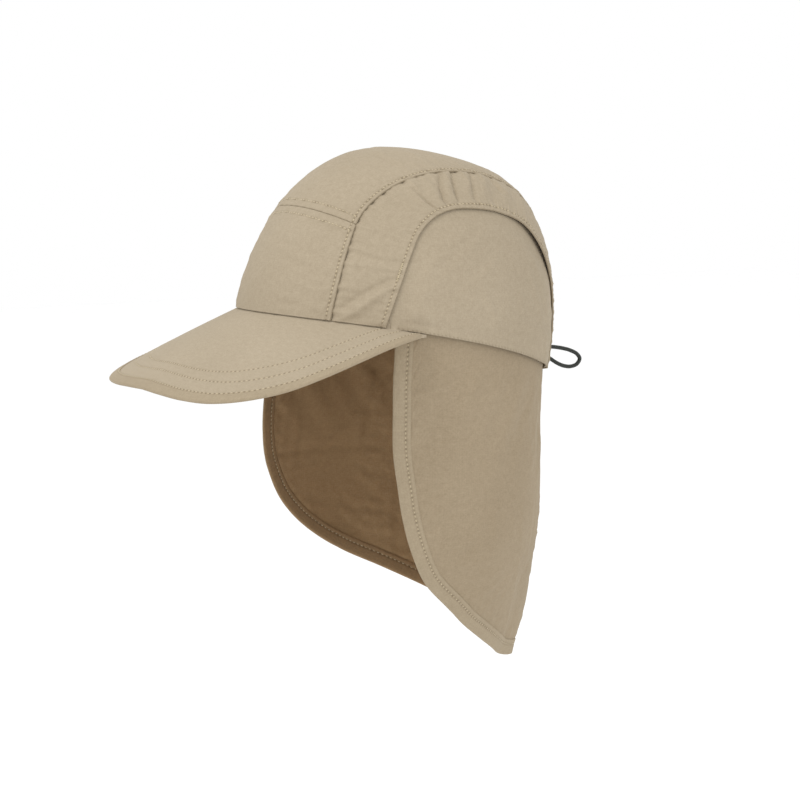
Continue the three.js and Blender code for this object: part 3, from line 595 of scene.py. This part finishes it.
def sidePanelSheet(side):
    station = np.linspace(0, lastStation, 260)[:, None]
    climb = np.r_[0, 0.006, 0.012, 0.02, np.linspace(0.033, 0.9, 54), 0.93, 0.965, 1.0][None]
    tuck = panel["overlap"] / at(bandWidth, station)
    hiddenSide, hiddenAlong = bandShares(station, 1 - tuck)
    topTurn, topReach = np.arctan2(hiddenAlong, hiddenSide), np.hypot(hiddenSide, hiddenAlong)
    rimTurn = mix(topTurn[0], topTurn[-1], station / lastStation)
    turn, reach = mix(rimTurn, topTurn, climb), mix(1.0, topReach, climb)
    across, along = reach * np.cos(turn), reach * np.sin(turn)
    flat = crownSurface(across, along)
    edgeStation = np.linspace(0, lastStation, 140)
    edge = crownSurface(*bandShares(edgeStation, bandEdge(edgeStation)))
    gap = np.sqrt(((flat[:, :, None] - edge[None, None]) ** 2).sum(-1).min(-1))
    level = flat @ crownAxis
    dip = np.maximum(1 - ease(gap, panel["dipStart"], panel["dipWidth"]), ease(climb, 0.86, 0.97))
    lift = -panel["depth"] * dip
    lift += panel["ripple"] * ripple(flat[..., 1] * 0.8 + flat[..., 2] * 0.3, 23, (37, 53, 71)) * (1 - dip)
    lift += panel["crumple"] * crumple(flat[..., 1], flat[..., 2], 83) * (1 - dip)
    lift += 0.6 * hump(level - 14, 4) * ripple(flat[..., 1], 29, (46, 83)) * (1 - dip)
    lift -= 0.4 * hump(level - 8.5, 1.6) * (1 - dip)
    points, normals = crownSpot(across, along, lift)
    uv = np.stack([flat[..., 1], flat[..., 2]], -1)
    fromRim = np.linalg.norm(flat - flat[:, :1], axis=-1)
    # painted shade: a dashed dark row of needle holes just above the rim
    shade = 0.6 * needleHoleShade(fromRim - 0.6, flat[..., 1], stitch["pitch"], 0.6)
    mirror = np.array([side, 1, 1])
    piece = clothPiece("side_panel_cloth_" + ("left" if side > 0 else "right"), points * mirror, normals * mirror,
                       uv, crown["wall"], [crownCloth, insideCloth], shade)
    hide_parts("side_panel_left" if side > 0 else "side_panel_right")
    return piece


for side in (1, -1):
    sidePanelSheet(side)
print("side panels made")

# Crown stitches
def middleRow(station, across):
    return crownSpot(*middleShares(station, across), middleLift(station, across) + 0.12)


def bandRow(station, across):
    return crownSpot(*bandShares(station, across), bandLift(station, across) + 0.14)


def crownRows():
    rows = []
    fine = evenStations(0.05, lastStation - 0.05, 1.2)
    seamAcross = 1 - middle["seamRow"] / at(halfWidth, fine)
    edgeAcross = bandEdge(fine) - band["edgeRow"] / at(bandWidth, fine)
    for side in (1, -1):
        mirror = np.array([side, 1, 1])
        seamLine, seamNormals = middleRow(fine, seamAcross)
        edgeLine, edgeNormals = bandRow(fine, edgeAcross)
        rows.append((seamLine * mirror, seamNormals * mirror, stitch["pitch"], at(seamLength, fine)))
        rows.append((edgeLine * mirror, edgeNormals * mirror, stitch["pitch"], at(tableArch, fine)))
    across = np.linspace(-0.985, 0.985, 120)
    for offset in (-middle["crossRow"], middle["crossRow"]):
        station = frontSeamStation + offset / mix(middle["stationMiddle"], middle["stationSide"], np.abs(across))
        rows.append((*middleRow(station, across), stitch["pitch"], at(halfWidth, station) * across))
    return rows


sewRows("crown_stitches", crownRows(), threadKhaki)


def bartackRows():  # dense bar of short cross stitches where the arch's hem is held down
    rows = []
    stations = np.linspace(1.22, 1.72, 15)
    for side in (1, -1):
        mirror = np.array([side, 1, 1])
        for i, station in enumerate(stations):  # one stitch across for each station
            centre = 1 - band["edgeRow"] / at(bandWidth, station)
            across = centre + np.array([-1.0, 1.0]) / at(bandWidth, station)
            slant = (0.02 if i % 2 else -0.02) * np.array([1, -1])
            line, normals = crownSpot(*bandShares(np.full(2, station) + slant, across),
                                      bandLift(np.full(2, station), across) + 0.22)
            rows.append((line * mirror, normals * mirror, 2.0, np.array([0.0, 2.0])))
    return rows


sewRows("arch_bartacks", bartackRows(), threadKhaki, 1.0)
print("crown stitches sewn")

# Brim: cloth over a stiff sheet
brim = dict(width=188, front=169, drop=17.8, endTurn=-18.5, wall=1.6, camber=1.5, tuck=1.1, gap=0.45, tape=6.9,
            tapeWall=0.5, tapeEnd=0.965, pitch=3.0)
brimEdgeRows = np.array([(0.93, 0.262, 0.63), (0.98, 0.379, 0.42), (1, 0.503, 0.08), (0.985, 0.627, -0.31),
                         (0.936, 0.751, -0.68), (0.83, 0.861, -0.92), (0.66, 0.941, -1.05), (0.447, 0.982, -1.05),
                         (0.223, 0.998, -1), (0, 1, -0.96)])
# The rows of brimEdgeRows run from the side to the front middle, as shares of half width, front and drop.
# Distances of the stitch rows from the brim's edge, at shares of the spread from the middle to an end.
brimRowShares = np.array([0, 0.1, 0.2, 0.3, 0.4, 0.5, 0.6, 0.8, 1])
brimRows = dict(outer=np.array([6.2, 6.2, 6.2, 6.2, 6.2, 6.2, 6.2, 6.2, 6.2]),
                middle=np.array([15.8, 16, 16.4, 17.2, 17.8, 18.3, 18.6, 19, 19]),
                inner=np.array([22.5, 23, 24.5, 27, 29.4, 30.2, 30.6, 31, 31]))


def centripetalLine(points):
    points = np.vstack([2 * points[0] - points[1], points, 2 * points[-1] - points[-2]])
    pieces = []
    w = np.linspace(0, 1, 60, endpoint=False)[:, None]
    for p0, p1, p2, p3 in zip(points, points[1:], points[2:], points[3:]):
        d0, d1, d2 = (np.linalg.norm(b - a) ** 0.5 for a, b in ((p0, p1), (p1, p2), (p2, p3)))
        t1 = ((p1 - p0) / d0 - (p2 - p0) / (d0 + d1) + (p2 - p1) / d1) * d1
        t2 = ((p2 - p1) / d1 - (p3 - p1) / (d1 + d2) + (p3 - p2) / d2) * d1
        pieces.append(p1 + t1 * w + (3 * p2 - 3 * p1 - 2 * t1 - t2) * w ** 2 + (2 * p1 - 2 * p2 + t1 + t2) * w ** 3)
    return np.vstack(pieces + [points[-2][None]])


brimFirst = turnSpot(np.array(float(brim["endTurn"])), np.array(1.0))[0] - crownAxis * brim["gap"]
brimReach = [brim["width"] / 2, -brim["front"], brim["drop"]]
brimEdgeLine = centripetalLine(np.vstack([brimFirst, brimEdgeRows * brimReach]))
brimEdgeShare = lengthsAlong(brimEdgeLine) / lengthsAlong(brimEdgeLine)[-1]


def brimSurface(spread, out):
    spread, out = np.broadcast_arrays(np.asarray(spread, float), np.asarray(out, float))
    share = np.clip(1 - np.abs(spread), 0, 1)
    turn = np.radians(mix(brim["endTurn"], -90, share))
    rim = crownSpot(np.cos(turn), np.sin(turn), -brim["tuck"])[0] - crownAxis * brim["gap"]
    edge = np.stack([np.interp(share, brimEdgeShare, brimEdgeLine[:, i]) for i in range(3)], -1)
    point = mix(rim, edge, out[..., None]) + crownAxis * (brim["camber"] * np.sin(math.pi * out) * share)[..., None]
    return point * np.stack([np.where(spread < 0, -1, 1), np.ones(spread.shape), np.ones(spread.shape)], -1)


def brimSpot(spread, out, lift=0.0):
    point = brimSurface(spread, out)
    side, small = np.minimum(np.abs(spread), 0.97), 0.004
    inner = np.minimum(out, 0.97)
    across = brimSurface(side + small, inner) - brimSurface(side - small, inner)
    forth = brimSurface(side, inner + small) - brimSurface(side, inner - small)
    face = unit(np.cross(across, forth))
    face = face * np.where(face @ crownAxis < 0, -1, 1)[..., None]
    face[..., 0] *= np.where(np.abs(spread) < 0.005, 0, np.sign(spread))
    normal = unit(mix(crownAxis, face, ease(out, 0, 0.3)[..., None]))
    return point + normal * np.broadcast_to(lift, point.shape[:-1])[..., None], normal


def brimWidthAt(spread):
    return np.linalg.norm(brimSurface(spread, 1.0) - brimSurface(spread, 0.0), axis=-1)


def brimLift(spread, distance, length):
    lift = np.zeros(np.broadcast(spread, distance).shape)
    for key, depth in (("middle", 0.3), ("inner", 0.3)):
        row = np.interp(np.abs(spread), brimRowShares, brimRows[key])
        lift = lift + stitchGroove(distance - row, length, depth, 0.6)
        lift += 0.12 * hump(distance - row + 2.2, 1.5) + 0.12 * hump(distance - row - 2.2, 1.5)
    return lift


# painted shade: dark needle holes along the brim's middle and inner stitch rows
def brimShade(spread, distance, length):
    shade = np.zeros(np.broadcast(spread, distance).shape)
    for key in ("middle", "inner"):
        row = np.interp(np.abs(spread), brimRowShares, brimRows[key])
        shade = shade + needleHoleShade(distance - row, length, brim["pitch"], 0.6)
    return np.clip(shade, 0, 1)


brimSpreads = np.linspace(-1, 1, 601)
brimLength = lengthsAlong(brimSurface(brimSpreads, np.ones(601)))


def brimSheet():
    spread = brimSpreads[:, None]
    width = brimWidthAt(brimSpreads)[:, None]
    offsets = np.array([-1.1, -0.7, -0.4, -0.15, 0.15, 0.4, 0.7, 1.1])
    rowAt = {key: np.interp(np.abs(spread), brimRowShares, brimRows[key]) for key in brimRows}
    distance = np.concatenate([
        np.broadcast_to(np.array([0, 0.5, 1.2, 2.2, 3.6, 5.2, 7, 9, 11.5])[None], (len(brimSpreads), 9)),
        rowAt["middle"] + offsets, mix(rowAt["middle"] + 1.1, rowAt["inner"] - 1.1, np.linspace(0, 1, 7)[None, 1:-1]),
        rowAt["inner"] + offsets,
        mix(rowAt["inner"] + 1.1, np.maximum(width, rowAt["inner"] + 1.2), np.linspace(0, 1, 18)[None, 1:])], 1)
    distance = np.minimum(distance, width)
    out = 1 - distance / np.maximum(width, 0.01)
    points, normals = brimSpot(spread + 0 * out, out, brimLift(spread, distance, brimLength[:, None]))
    rimTurn = mix(brim["endTurn"], -90, 1 - np.abs(spread))
    for reach, depth in ((1.0, 1.35), (0.975, 1.35), (0.95, 1.5)):  # seam allowance turned up inside the crown
        turned, outwards = turnSpot(rimTurn, np.full(rimTurn.shape, reach), -depth)
        side = np.stack([np.where(spread < 0, -1, 1), np.ones(spread.shape), np.ones(spread.shape)], -1)
        points, normals = np.concatenate([points, turned * side], 1), np.concatenate([normals, outwards * side], 1)
        distance = np.concatenate([distance, distance[:, -1:] + 5], 1)
    uv = np.stack([points[..., 0], points[..., 1] + points[..., 2]], -1)
    piece = clothPiece("brim_cloth", points, normals, uv, brim["wall"], [brimCloth, brimCloth],
                       brimShade(spread, distance, brimLength[:, None]))
    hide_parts("brim")
    return piece


def brimTape():  # folded strip round the edge, as a ring of offsets: along the sheet from its edge, and above it
    spreads = brimSpreads[np.abs(brimSpreads) < brim["tapeEnd"]]
    wall, thick, width = brim["tapeWall"], brim["wall"], brim["tape"]
    over = [(width, 0.05), (width - 0.1, wall * 0.75), (width - 0.35, wall), (width - 0.7, wall * 0.6),
            (width - 1.1, wall * 0.95), (width - 2, wall * 1.1), (3.2, wall), (1.4, wall), (0.4, wall * 0.7),
            (-0.25, wall * 0.1), (-0.6, -0.28 * thick)]
    ring = over + [(-0.65, -0.5 * thick)] + [(a, -thick - b) for a, b in over[::-1]]
    sheetWidth = brimWidthAt(spreads)
    points, uv, shade = [], [], []
    length = np.interp(spreads, brimSpreads, brimLength)
    for along, lift in ring:
        # painted shade: dark needle holes along the tape's stitch row, on its upper face
        shade.append(needleHoleShade(along - brimRows["outer"][0], length, brim["pitch"], 0.6) * (lift > 0))
        reachIn = np.minimum(along, 0.6 * sheetWidth)
        out = 1 - np.maximum(reachIn, 0) / sheetWidth
        point, normal = brimSpot(spreads, out, np.full(len(spreads), lift))
        outward = unit(brimSurface(spreads, 1.0) - brimSurface(spreads, 1 - 3 / sheetWidth))
        points.append(point + outward * max(-along, 0))
        uv.append(np.stack([length, np.full(len(spreads), along - 30 * (lift < -1))], -1))
    points = np.stack(points, 1)
    faces = gridFaces(len(spreads), len(ring), closed=True)
    piece = meshPiece("brim_binding_tape", points.reshape(-1, 3), faces, np.stack(uv, 1).reshape(-1, 2),
                      np.stack(shade, 1))
    closeEnds(piece)
    piece.data.materials.append(tapeCloth)
    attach(piece, "root")
    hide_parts("brim_binding")
    return piece


def closeEnds(piece):  # an open ring gets its two end faces, and its normals point outwards
    makeActive(piece)
    bpy.ops.object.mode_set(mode="EDIT")
    bpy.ops.mesh.select_all(action="DESELECT")
    bpy.ops.mesh.select_non_manifold()
    bpy.ops.mesh.edge_face_add()
    bpy.ops.mesh.select_all(action="SELECT")
    bpy.ops.mesh.normals_make_consistent(inside=False)
    bpy.ops.object.mode_set(mode="OBJECT")
    bpy.ops.object.shade_smooth_by_angle(angle=math.radians(60))


brimSheet()
brimTape()


def brimStitchRows():
    rows = []
    for key, lift in (("outer", brim["tapeWall"] * 0.75 + 0.1), ("middle", -0.12), ("inner", -0.12)):
        spread = np.linspace(-0.95, 0.95, 500)
        gap = np.interp(np.abs(spread), brimRowShares, brimRows[key])
        width = brimWidthAt(spread)
        spread, gap, width = spread[gap < width - 0.5], gap[gap < width - 0.5], width[gap < width - 0.5]
        rows.append((*brimSpot(spread, 1 - gap / width, np.full(len(spread), lift)), brim["pitch"],
                     np.interp(spread, brimSpreads, brimLength)))
    return rows


sewRows("brim_stitches", brimStitchRows(), threadKhaki, 1.15)
print("brim made")

# Neck flap: one cloth, sewn inside the rim, bound round its free edge
flap = dict(wall=0.9, inset=3.3, tuck=6, drop=204, halfWidth=81, backReach=92, tape=10, hangStart=35, foldDepth=2.6,
            edgeStart=-28.5, tapeWall=0.55, tapeRow=7, pitch=2.6)
flapSections = np.array([  # fall, width, back, point
    (-0.15, 1, 1.01, 0), (0, 1, 1, 0), (0.2, 1, 0.972, 0), (0.4, 1, 0.985, 0), (0.55, 0.96, 0.993, 0.06),
    (0.7, 0.84, 0.985, 0.16), (0.85, 0.67, 0.975, 0.27), (1, 0.5, 0.905, 0.36)])
leftEdge = [(-28, .06), (-28, .15), (-28, .27), (-26.5, .37), (-24.5, .46), (-21, .55), (-14.5, .65), (-5, .73),
            (8, .82), (25, .9), (45, .965), (66, .995)]
rightEdge = [(-28.8, .06), (-30.2, .168), (-31.6, .268), (-30.8, .366), (-27.3, .447), (-21.8, .527), (-12.3, .612),
             (0.7, .69), (18.2, .758), (37, .83), (56, .903), (74, .969)]
flapFolds = [(12, 9, 0.35), (44, 8, -0.55), (66, 9, 0.8), (104, 11, -0.7), (131, 9, 0.6), (160, 10, -0.4)]
degreeLength = math.pi * flap["halfWidth"] / 180


def flapSurface(turn, level):
    turn, level = np.broadcast_arrays(np.asarray(turn, float), np.asarray(level, float))
    angle = np.radians(turn)
    rim = crownSpot(np.cos(angle), np.sin(angle), -flap["inset"])[0]
    drop = rim[..., 2] - level
    reach = 1 + np.minimum(drop, 0) / crown["height"] / (math.pi / 2)
    tucked = crownSpot(reach * np.cos(angle), reach * np.sin(angle), -flap["inset"])[0]
    fall = np.clip(-level / flap["drop"], flapSections[0, 0], 1)
    row = np.interp(fall, flapSections[:, 0], np.arange(len(flapSections)))
    widthShare, backShare, point = np.moveaxis(curveRows(flapSections[:, 1:], row), -1, 0)
    folds = sum(depth * hump(turn - t, spread) for t, spread, depth in flapFolds)
    folds = folds * flap["foldDepth"] * ease(drop, 20, 150)
    width, back = flap["halfWidth"] * widthShare + folds, flap["backReach"] * backShare + folds
    length = np.where(np.sin(angle) < 0, crown["frontReach"], back)
    x = width * np.sign(np.cos(angle)) * np.abs(np.cos(angle)) ** (1 + point)
    hung = np.stack([x, length * np.sin(angle), level], -1)
    upright = np.stack([rim[..., 0], rim[..., 1], level], -1)
    hanging = mix(upright, hung, ease(drop, 0, flap["hangStart"])[..., None])
    return np.where((drop <= 0)[..., None], tucked, hanging)


def flapSpot(turn, level, lift=0.0):
    small = 0.4
    point = flapSurface(turn, level)
    a = flapSurface(turn + small, level) - flapSurface(turn - small, level)
    b = flapSurface(turn, level + small) - flapSurface(turn, level - small)
    normal = unit(np.cross(a, b))
    outside = point * [1, 1, 0]
    normal = normal * np.where((normal * outside).sum(-1) < 0, -1, 1)[..., None]
    return point + normal * np.broadcast_to(lift, point.shape[:-1])[..., None], normal


def flapEdgeTable(count):
    start = turnSpot(np.array(flap["edgeStart"]), np.array(1.0), -flap["inset"])[0][2]
    rows = [(flap["edgeStart"] * degreeLength, start)]
    rows += [(turn * degreeLength, -fall * flap["drop"]) for turn, fall in leftEdge]
    rows += [(90 * degreeLength, -flap["drop"])]
    rows += [((180 - turn) * degreeLength, -fall * flap["drop"]) for turn, fall in rightEdge[::-1]]
    rows += [((180 - flap["edgeStart"]) * degreeLength, start)]
    fine = curveRows(rows, np.linspace(0, len(rows) - 1, 3000))
    length = lengthsAlong(fine)
    even = np.linspace(0, length[-1], count)
    spot = np.stack([np.interp(even, length, fine[:, i]) for i in range(2)], -1)
    tangent = unit(np.gradient(spot, axis=0))
    turn, level = spot[:, 0] / degreeLength, spot[:, 1]
    trialTurn = turn - tangent[:, 1] * flap["tape"] / degreeLength
    trialLevel = level + tangent[:, 0] * flap["tape"]
    edgePoint, trialPoint = flapSurface(turn, level), flapSurface(trialTurn, trialLevel)
    stretch = flap["tape"] / np.linalg.norm(edgePoint - trialPoint, axis=-1)
    return turn, level, mix(turn, trialTurn, stretch), mix(level, trialLevel, stretch), even


flapCount = 620
edgeTurn, edgeLevel, insetTurn, insetLevel, edgeLength = flapEdgeTable(flapCount)


def flapLift(turn, level, fromTape, length):
    rimLevel = turnSpot(turn, np.ones(np.shape(turn)), -flap["inset"])[0][..., 2]
    drop = rimLevel - level
    lift = 0.22 * np.exp(-np.maximum(fromTape, 0) / 7) * ripple(length + 0.6 * fromTape, 41, (6.1, 9.7, 15.3))
    lift += 0.3 * ease(drop, 4, 40) * ripple(turn * degreeLength + 0.25 * level, 43, (61, 97))
    lift += 0.32 * ease(drop, 3, 30) * crumple(turn * degreeLength, level, 97)
    upper = ease(drop, 3, 20) * (1 - ease(drop, 40, 90))
    lift += 0.45 * upper * ripple(turn * degreeLength - 0.5 * level, 47, (19, 31))
    return lift


def flapSheet():
    rows = np.r_[np.linspace(0, 0.8, 44), np.linspace(0.8, 1, 20)[1:]]
    rimTurn = np.linspace(insetTurn[0], insetTurn[-1], flapCount)
    rimLevel = turnSpot(rimTurn, np.ones(flapCount), -flap["inset"])[0][:, 2]
    tuckLevel = rimLevel[:, None] + np.linspace(flap["tuck"], 1, 4)[None]
    turn = np.concatenate([np.broadcast_to(rimTurn[:, None], (flapCount, 4)),
                           mix(rimTurn[:, None], insetTurn[:, None], rows[None]),
                           mix(insetTurn[:, None], edgeTurn[:, None], np.array([0.25, 0.6, 0.97])[None])], 1)
    level = np.concatenate([tuckLevel, mix(rimLevel[:, None], insetLevel[:, None], rows[None]),
                            mix(insetLevel[:, None], edgeLevel[:, None], np.array([0.25, 0.6, 0.97])[None])], 1)
    inset = flapSurface(insetTurn, insetLevel)[:, None]
    gap = np.linalg.norm(flapSurface(turn, level) - inset, axis=-1)
    gap[:, -3:] = 0
    lift = flapLift(turn, level, gap, edgeLength[:, None]) * ease(gap, 0, 3)
    points, normals = flapSpot(turn, level, lift)
    uv = np.stack([turn * degreeLength, level], -1)
    piece = clothPiece("neck_flap_cloth", points, normals, uv, flap["wall"], [flapCloth, flapInside])
    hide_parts("neck_flap")
    return piece


def flapTape():
    wall, thick, width = flap["tapeWall"], flap["wall"], flap["tape"]
    row = width - flap["tapeRow"]
    over = [(0, 0.03), (0.06, wall * 0.8), (0.4, wall), (1.6, wall * 1.05), (2.5, wall * 0.9), (2.8, wall * 0.65),
            (3.0, wall * 0.5), (3.2, wall * 0.65), (3.5, wall * 0.9), (4.6, wall * 1.1), (7, wall * 1.1),
            (9, wall), (9.8, wall * 0.7), (10.2, 0.05), (10.4, -0.35 * thick)]
    ring = over + [(a, -thick - b) for a, b in over[::-1]]
    keep = slice(2, flapCount - 2)
    turnA, levelA, turnB, levelB = (v[keep] for v in (insetTurn, insetLevel, edgeTurn, edgeLevel))
    inset, insetNormal = flapSpot(turnA, levelA)
    edge, edgeNormal = flapSpot(turnB, levelB)
    outward = unit(edge - inset)
    length = edgeLength[keep]
    swell = 0.06 * ripple(length, 51, (4.9, 7.7, 13.1))
    points, uv, shade = [], [], []
    for along, lift in ring:
        # painted shade: dark needle holes along the tape's stitch row
        shade.append(needleHoleShade(along - row, length, flap["pitch"], 0.6))
        share = min(along, width) / width
        normal = unit(mix(insetNormal, edgeNormal, share))
        middlePoint = flapSurface(mix(turnA, turnB, share), mix(levelA, levelB, share))
        groove = 0.12 * hump(along - row, 0.5) * np.cos(2 * math.pi * length / flap["pitch"]) if lift > 0 else 0
        outer = 1 if lift > -0.4 * thick else -1
        points.append(middlePoint + normal * (lift + outer * swell * 0.7 + groove)[:, None]
                      + outward * max(along - width, 0))
        uv.append(np.stack([length, np.full(len(length), along + (30 if lift < -0.5 else 0))], -1))
    points = np.stack(points, 1)
    piece = meshPiece("flap_binding_tape", points.reshape(-1, 3), gridFaces(len(length), len(ring), closed=True),
                      np.stack(uv, 1).reshape(-1, 2), np.stack(shade, 1))
    closeEnds(piece)
    piece.data.materials.append(tapeCloth)
    piece.data.materials.append(tapeInside)
    for face in piece.data.polygons:  # the half of the tape that lies inside the flap takes the darker brown of painted shade
        face.material_index = int(face.index < (len(length) - 1) * len(ring) and face.index % len(ring) >= len(over))
    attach(piece, "root")
    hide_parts("flap_binding")
    return piece


flapPiece = flapSheet()
flapTapePiece = flapTape()


def flapStitchRow(inside):
    share = (flap["tape"] - flap["tapeRow"]) / flap["tape"]
    keep = slice(3, flapCount - 3)
    turn, level = mix(insetTurn[keep], edgeTurn[keep], share), mix(insetLevel[keep], edgeLevel[keep], share)
    lift = -flap["wall"] - flap["tapeWall"] * 0.5 - 0.1 if inside else flap["tapeWall"] * 0.5 + 0.12
    line, normals = flapSpot(turn, level, np.full(turn.shape, lift))
    return line, normals * (-1 if inside else 1), flap["pitch"], edgeLength[keep]


flapStitches = sewRows("flap_stitches", [flapStitchRow(False), flapStitchRow(True)], threadKhaki)
print("neck flap made")

# Draw cord: a short loop out of its stop
cordRoute = [(106.9, -11.5), (113, -11.9), (119.5, -12.7), (126, -13.9), (132, -15.6), (137.3, -18.2), (139.6, -21.4),
             (137.4, -24.6), (132.6, -25.9), (127, -25.2), (121, -22.8), (114, -18.6), (106.7, -14.9)]
cord = dict(diameter=2.5, sides=12, rings=220)


# Braided polyester cover, eight carriers round a soft core: fine dark diamonds with a low satin shine.
def braidedCord(name, light, dark):
    material, tree, shader = startMaterial(name)
    place = addNode(tree, "ShaderNodeTexCoord")
    waves = []
    for turn in (0.9, -0.9):
        aim = addNode(tree, "ShaderNodeMapping", None, {"Vector": (place, "UV"), "Rotation": (0, 0, turn)})
        waves.append(addNode(tree, "ShaderNodeTexWave", {"bands_direction": "X", "wave_profile": "SIN"},
                             {"Vector": (aim, "Vector"), "Scale": 32.0, "Distortion": 0.3}))
    cross = addNode(tree, "ShaderNodeMath", {"operation": "MAXIMUM"}, {0: (waves[0], "Fac"), 1: (waves[1], "Fac")})
    colour = addNode(tree, "ShaderNodeMix", {"data_type": "RGBA"},
                     {0: (cross, "Value"), 6: linear(dark), 7: linear(light)})
    relief = addNode(tree, "ShaderNodeBump", None,
                     {"Height": (cross, "Value"), "Strength": 0.7, "Distance": 0.00015})
    tree.links.new(colour.outputs[2], shader.inputs["Base Color"])
    tree.links.new(relief.outputs["Normal"], shader.inputs["Normal"])
    shader.inputs["Roughness"].default_value = 0.6
    shader.inputs["Sheen Weight"].default_value = 0.03
    return material


cordCover = braidedCord("braided_polyester_cord", "#20251d", "#0b0d0a")


def cordPiece():
    route = np.array([(0, y, z) for y, z in cordRoute], float)
    line = centripetalLine(route)
    length = lengthsAlong(line)
    even = np.linspace(0, length[-1], cord["rings"])
    line = np.stack([np.interp(even, length, line[:, i]) for i in range(3)], -1)
    forward = unit(np.gradient(line, axis=0))
    side = np.broadcast_to(np.array([1.0, 0, 0]), forward.shape)
    up = np.cross(forward, side)
    angle = np.linspace(0, 2 * math.pi, cord["sides"], endpoint=False)
    radius = cord["diameter"] / 2
    ring = side[:, None] * np.cos(angle)[None, :, None] + up[:, None] * np.sin(angle)[None, :, None]
    points = line[:, None] + ring * radius
    uv = np.stack(np.broadcast_arrays(even[:, None], (angle * radius)[None]), -1)
    piece = meshPiece("cord_loop_braid", points.reshape(-1, 3), gridFaces(cord["rings"], cord["sides"], closed=True),
                      uv.reshape(-1, 2))
    closeEnds(piece)
    piece.data.materials.append(cordCover)
    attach(piece, "root")
    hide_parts("cord_loop")
    print("cord length", round(length[-1], 1), "mm")
    return piece


cordPiece()

# Cord stop: a moulded barrel with a push button
stop = dict(seat=(0, 97.6, -11.6), axis=(0, 0.9885, -0.1511), diameter=9, length=9, lip=0.7, well=1.2,
            buttonGap=0.25, buttonRise=0.7, edgeRound=0.35)


# Acetal, injection moulded: near black, with a fine spark-eroded grain and a satin edge shine.
def mouldedAcetal(name, light, dark):
    material, tree, shader = startMaterial(name)
    place = addNode(tree, "ShaderNodeTexCoord")
    grain = addNode(tree, "ShaderNodeTexNoise", None, {"Vector": (place, "Object"), "Scale": 1800.0, "Detail": 3.0})
    colour = addNode(tree, "ShaderNodeMix", {"data_type": "RGBA"},
                     {0: (grain, "Fac"), 6: linear(dark), 7: linear(light)})
    relief = addNode(tree, "ShaderNodeBump", None, {"Height": (grain, "Fac"), "Strength": 0.4, "Distance": 0.00005})
    tree.links.new(colour.outputs[2], shader.inputs["Base Color"])
    tree.links.new(relief.outputs["Normal"], shader.inputs["Normal"])
    shader.inputs["Roughness"].default_value = 0.42
    shader.inputs["IOR"].default_value = 1.48
    return material


stopPlastic = mouldedAcetal("moulded_acetal_black", "#2a2c2a", "#1b1d1b")


def stopPiece():
    deselectAll()
    bpy.ops.mesh.primitive_cylinder_add(vertices=48, radius=stop["diameter"] / 2, depth=stop["length"],
                                        location=(0, 0, stop["length"] / 2))
    piece = bpy.context.object
    piece.name = "cord_stop_barrel"
    bpy.ops.object.transform_apply(location=True)
    bpy.ops.object.mode_set(mode="EDIT")
    bpy.ops.mesh.select_all(action="DESELECT")
    bpy.ops.object.mode_set(mode="OBJECT")
    top = max(piece.data.polygons, key=lambda f: f.center.z)
    top.select = True
    bpy.ops.object.mode_set(mode="EDIT")
    bpy.ops.mesh.select_mode(type="FACE")
    bpy.ops.mesh.inset(thickness=stop["lip"])
    bpy.ops.mesh.extrude_region_move(TRANSFORM_OT_translate={"value": (0, 0, -stop["well"])})
    bpy.ops.mesh.inset(thickness=stop["buttonGap"])
    bpy.ops.mesh.extrude_region_move(TRANSFORM_OT_translate={"value": (0, 0, stop["buttonRise"])})
    bpy.ops.mesh.select_all(action="SELECT")
    bpy.ops.object.mode_set(mode="OBJECT")
    bevel = piece.modifiers.new("edges", "BEVEL")
    bevel.width = stop["edgeRound"]
    bevel.segments = 3
    bevel.limit_method = "ANGLE"
    bpy.ops.object.modifier_apply(modifier="edges")
    bpy.ops.object.shade_smooth_by_angle(angle=math.radians(35))
    turn = Vector((0, 0, 1)).rotation_difference(Vector(stop["axis"])).to_matrix().to_4x4()
    piece.data.transform(turn)
    piece.data.transform(Matrix.Translation(Vector(stop["seat"])))
    piece.data.transform(Matrix.Scale(millimetre, 4))
    piece.data.materials.append(stopPlastic)
    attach(piece, "root")
    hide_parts("cord_stop")
    return piece


stopPiece()
print("cord and stop made")

# Floor, backdrop and soft light
studio = dict(floor=-420, size=9000, world=1.0)


def makeFloor():
    deselectAll()
    bpy.ops.mesh.primitive_plane_add(size=studio["size"] * millimetre, location=(0, 0, studio["floor"] * millimetre))
    floor = bpy.context.object
    floor.name = "floor"
    material, _, shader = startMaterial("matt_white_paper")
    shader.inputs["Base Color"].default_value = linear("#ffffff")
    shader.inputs["Roughness"].default_value = 0.9
    floor.data.materials.append(material)


def addSoftLight(name, azimuth, elevation, away, size, power, colour="#ffffff"):
    place = directionOf(azimuth, elevation) * away
    bpy.ops.object.light_add(type="AREA", location=place)
    light = bpy.context.object
    light.name = name
    light.rotation_euler = (-place).to_track_quat("-Z", "Y").to_euler()
    light.data.shape = "DISK"
    light.data.size = size
    light.data.energy = power
    light.data.color = linear(colour)[:3]


makeFloor()
addSoftLight("key", 15, 48, 1.5, 0.8, 9)
addSoftLight("fill", 95, 15, 1.6, 1.2, 4.5)
world = bpy.data.worlds.new("studio")
bpy.context.scene.world = world
world.use_nodes = True
world.node_tree.nodes["Background"].inputs["Color"].default_value = (1, 1, 1, 1)
world.node_tree.nodes["Background"].inputs["Strength"].default_value = studio["world"]
bpy.context.scene.view_settings.view_transform = "Standard"
print("studio ready")
